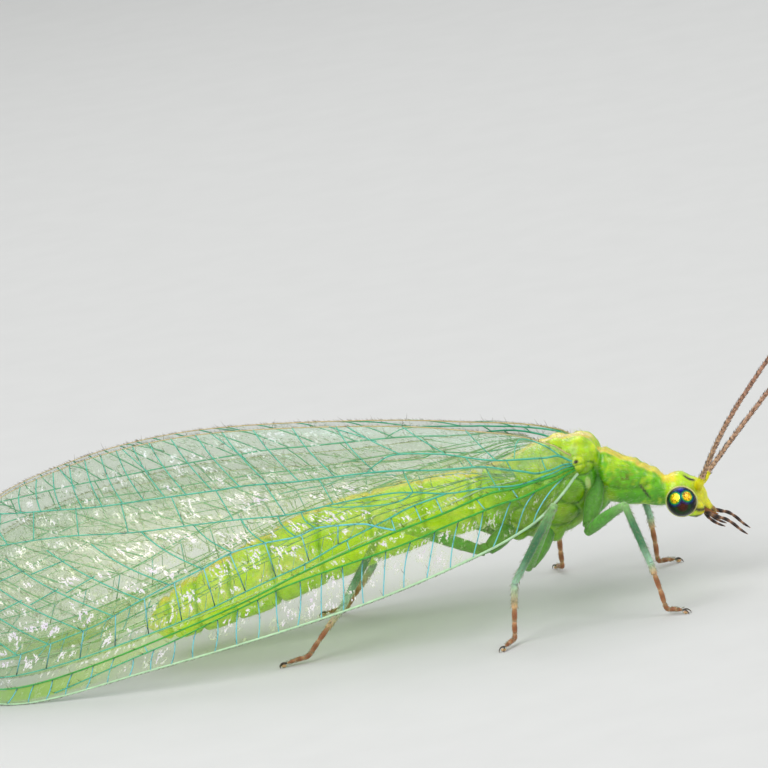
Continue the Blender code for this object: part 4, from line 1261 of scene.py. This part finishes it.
    # the crinkles lean as the rungs between the veins do
    slant = np.interp(share, (0, 0.18, 0.30, 0.40, 0.62, 1.0),
                      (0, 0.036, 0.0444, 0.0444, 0.020, 0.020))
    in_mm = np.c_[WING_LENGTH * (place + slant), WING_DEPTH * share,
                  np.full(len(place), HIND_PATTERN * behind)]
    membrane.data.attributes.new("Plan", "FLOAT_VECTOR", "POINT").data.foreach_set(
        "vector", in_mm.ravel())
    # all this is the right wing; the left one is its mirror image
    for word, flip in (("left", -1), ("right", 1)):
        turned = np.array((1, flip, 1))
        sheet_piece = membrane
        if flip < 0:
            sheet_piece = bpy.data.objects.new("left", membrane.data.copy())
            bpy.context.scene.collection.objects.link(sheet_piece)
        sheet_piece.name = f"{pair}_{word}_membrane"
        set_points(sheet_piece, points * turned)
        net_piece = mesh_piece(f"{pair}_{word}_veins", net_points * turned, net_faces)
        paint(net_piece, net_colours)
        if flip < 0:
            sheet_piece.data.flip_normals()
            net_piece.data.flip_normals()
        settle(sheet_piece, clear, (f"{pair}_{word}",))
        settle(net_piece, vein_chitin, (f"{pair}_{word}",))
        hairs = coat(f"{pair}_{word}_coat", (hair_points * turned, hair_faces),
                     linear(WING_BRISTLE), unwrap, vein_chitin, (f"{pair}_{word}",))
        if flip < 0:
            hairs.data.flip_normals()


# Floor and light: a table top under matt paper, two soft lamps high in front, a third high
# behind, and a pale room. Sizes are in metres here and for the camera.

FLOOR_SIZE = 0.6
ROOM_COLOUR, ROOM_LIGHT = (0.90, 0.92, 0.90, 1), 0.56
VIEW_TURN, VIEW_RISE, VIEW_ROLL = math.radians(10.0), math.radians(12.0), math.radians(10.5)
LAMP_AWAY, LAMP_AIM = 0.09, Vector((0, 0, 0.002))
LAMPS = (                     # direction in the picture: right, up, to the viewer; size, watts
    ("soft_lamp_left", (-0.62, 0.50, 0.60), 0.060, 0.040),
    ("soft_lamp_right", (0.63, 0.59, 0.51), 0.045, 0.020),
    ("soft_lamp_behind", (-0.2, 0.9, -0.5), 0.060, 0.022),
)

bpy.ops.mesh.primitive_plane_add(size=FLOOR_SIZE, location=(0, 0, 0))
floor = bpy.context.object
floor.name = "floor"
paper, tree, shader = material("pale_matt_paper", Roughness=0.9)
place = add(tree, "ShaderNodeTexCoord").outputs["Object"]
fibre = add(tree, "ShaderNodeTexNoise", [("Vector", place)], Scale=900.0, Detail=4.0)
shade = add(tree, "ShaderNodeMapRange", [("Value", fibre.outputs["Fac"])], To_Min=0.66,
            To_Max=0.70)
tint = add(tree, "ShaderNodeCombineColor", [("Red", shade.outputs["Result"]),
           ("Green", shade.outputs["Result"]), ("Blue", shade.outputs["Result"])])
tree.links.new(tint.outputs["Color"], shader.inputs["Base Color"])
floor.data.materials.append(paper)

world = bpy.data.worlds.new("pale_room")
bpy.context.scene.world = world
world.use_nodes = True
world.node_tree.nodes["Background"].inputs["Color"].default_value = ROOM_COLOUR
world.node_tree.nodes["Background"].inputs["Strength"].default_value = ROOM_LIGHT

right = Vector((math.cos(VIEW_TURN), math.sin(VIEW_TURN), 0))
back = Vector((math.sin(VIEW_TURN) * math.cos(VIEW_RISE),
               -math.cos(VIEW_TURN) * math.cos(VIEW_RISE), math.sin(VIEW_RISE)))
up = back.cross(right)
image_right = right * math.cos(VIEW_ROLL) - up * math.sin(VIEW_ROLL)
image_up = right * math.sin(VIEW_ROLL) + up * math.cos(VIEW_ROLL)
for name, direction, size, power in LAMPS:
    toward = image_right * direction[0] + image_up * direction[1] + back * direction[2]
    toward.normalize()
    lamp = bpy.data.lights.new(name, "AREA")
    lamp.shape = "SQUARE"
    lamp.size = size
    lamp.energy = power
    holder = bpy.data.objects.new(name, lamp)
    holder.location = toward * LAMP_AWAY + LAMP_AIM
    holder.rotation_mode = "QUATERNION"
    holder.rotation_quaternion = toward.to_track_quat("Z", "Y")
    bpy.context.scene.collection.objects.link(holder)


# Camera: the photograph's angle. It stands far off with a long lens, so that near and far
# parts are drawn at nearly one scale, and holds the hinge of the near wing at its place.

WING_HINGE = Vector((SHIFT_X, -0.75, 2.80))             # in millimetres
HINGE_RIGHT, HINGE_DOWN = 3.54, 1.423                   # from the middle of the picture
DISTANCE, VIEW_WIDTH, SENSOR_WIDTH = 0.160, 0.01401, 36.0

look_at = (WING_HINGE - image_right * HINGE_RIGHT + image_up * HINGE_DOWN) * 0.001
lens = bpy.data.cameras.new("camera")
lens.sensor_width = SENSOR_WIDTH
lens.lens = SENSOR_WIDTH * DISTANCE / VIEW_WIDTH
lens.clip_start, lens.clip_end = 0.005, 5.0
camera = bpy.data.objects.new("camera", lens)
axes = Matrix((image_right, image_up, back)).transposed()
camera.matrix_world = Matrix.Translation(look_at + back * DISTANCE) @ axes.to_4x4()
bpy.context.scene.collection.objects.link(camera)
bpy.context.scene.camera = camera
bpy.context.scene.view_settings.view_transform = "Standard"
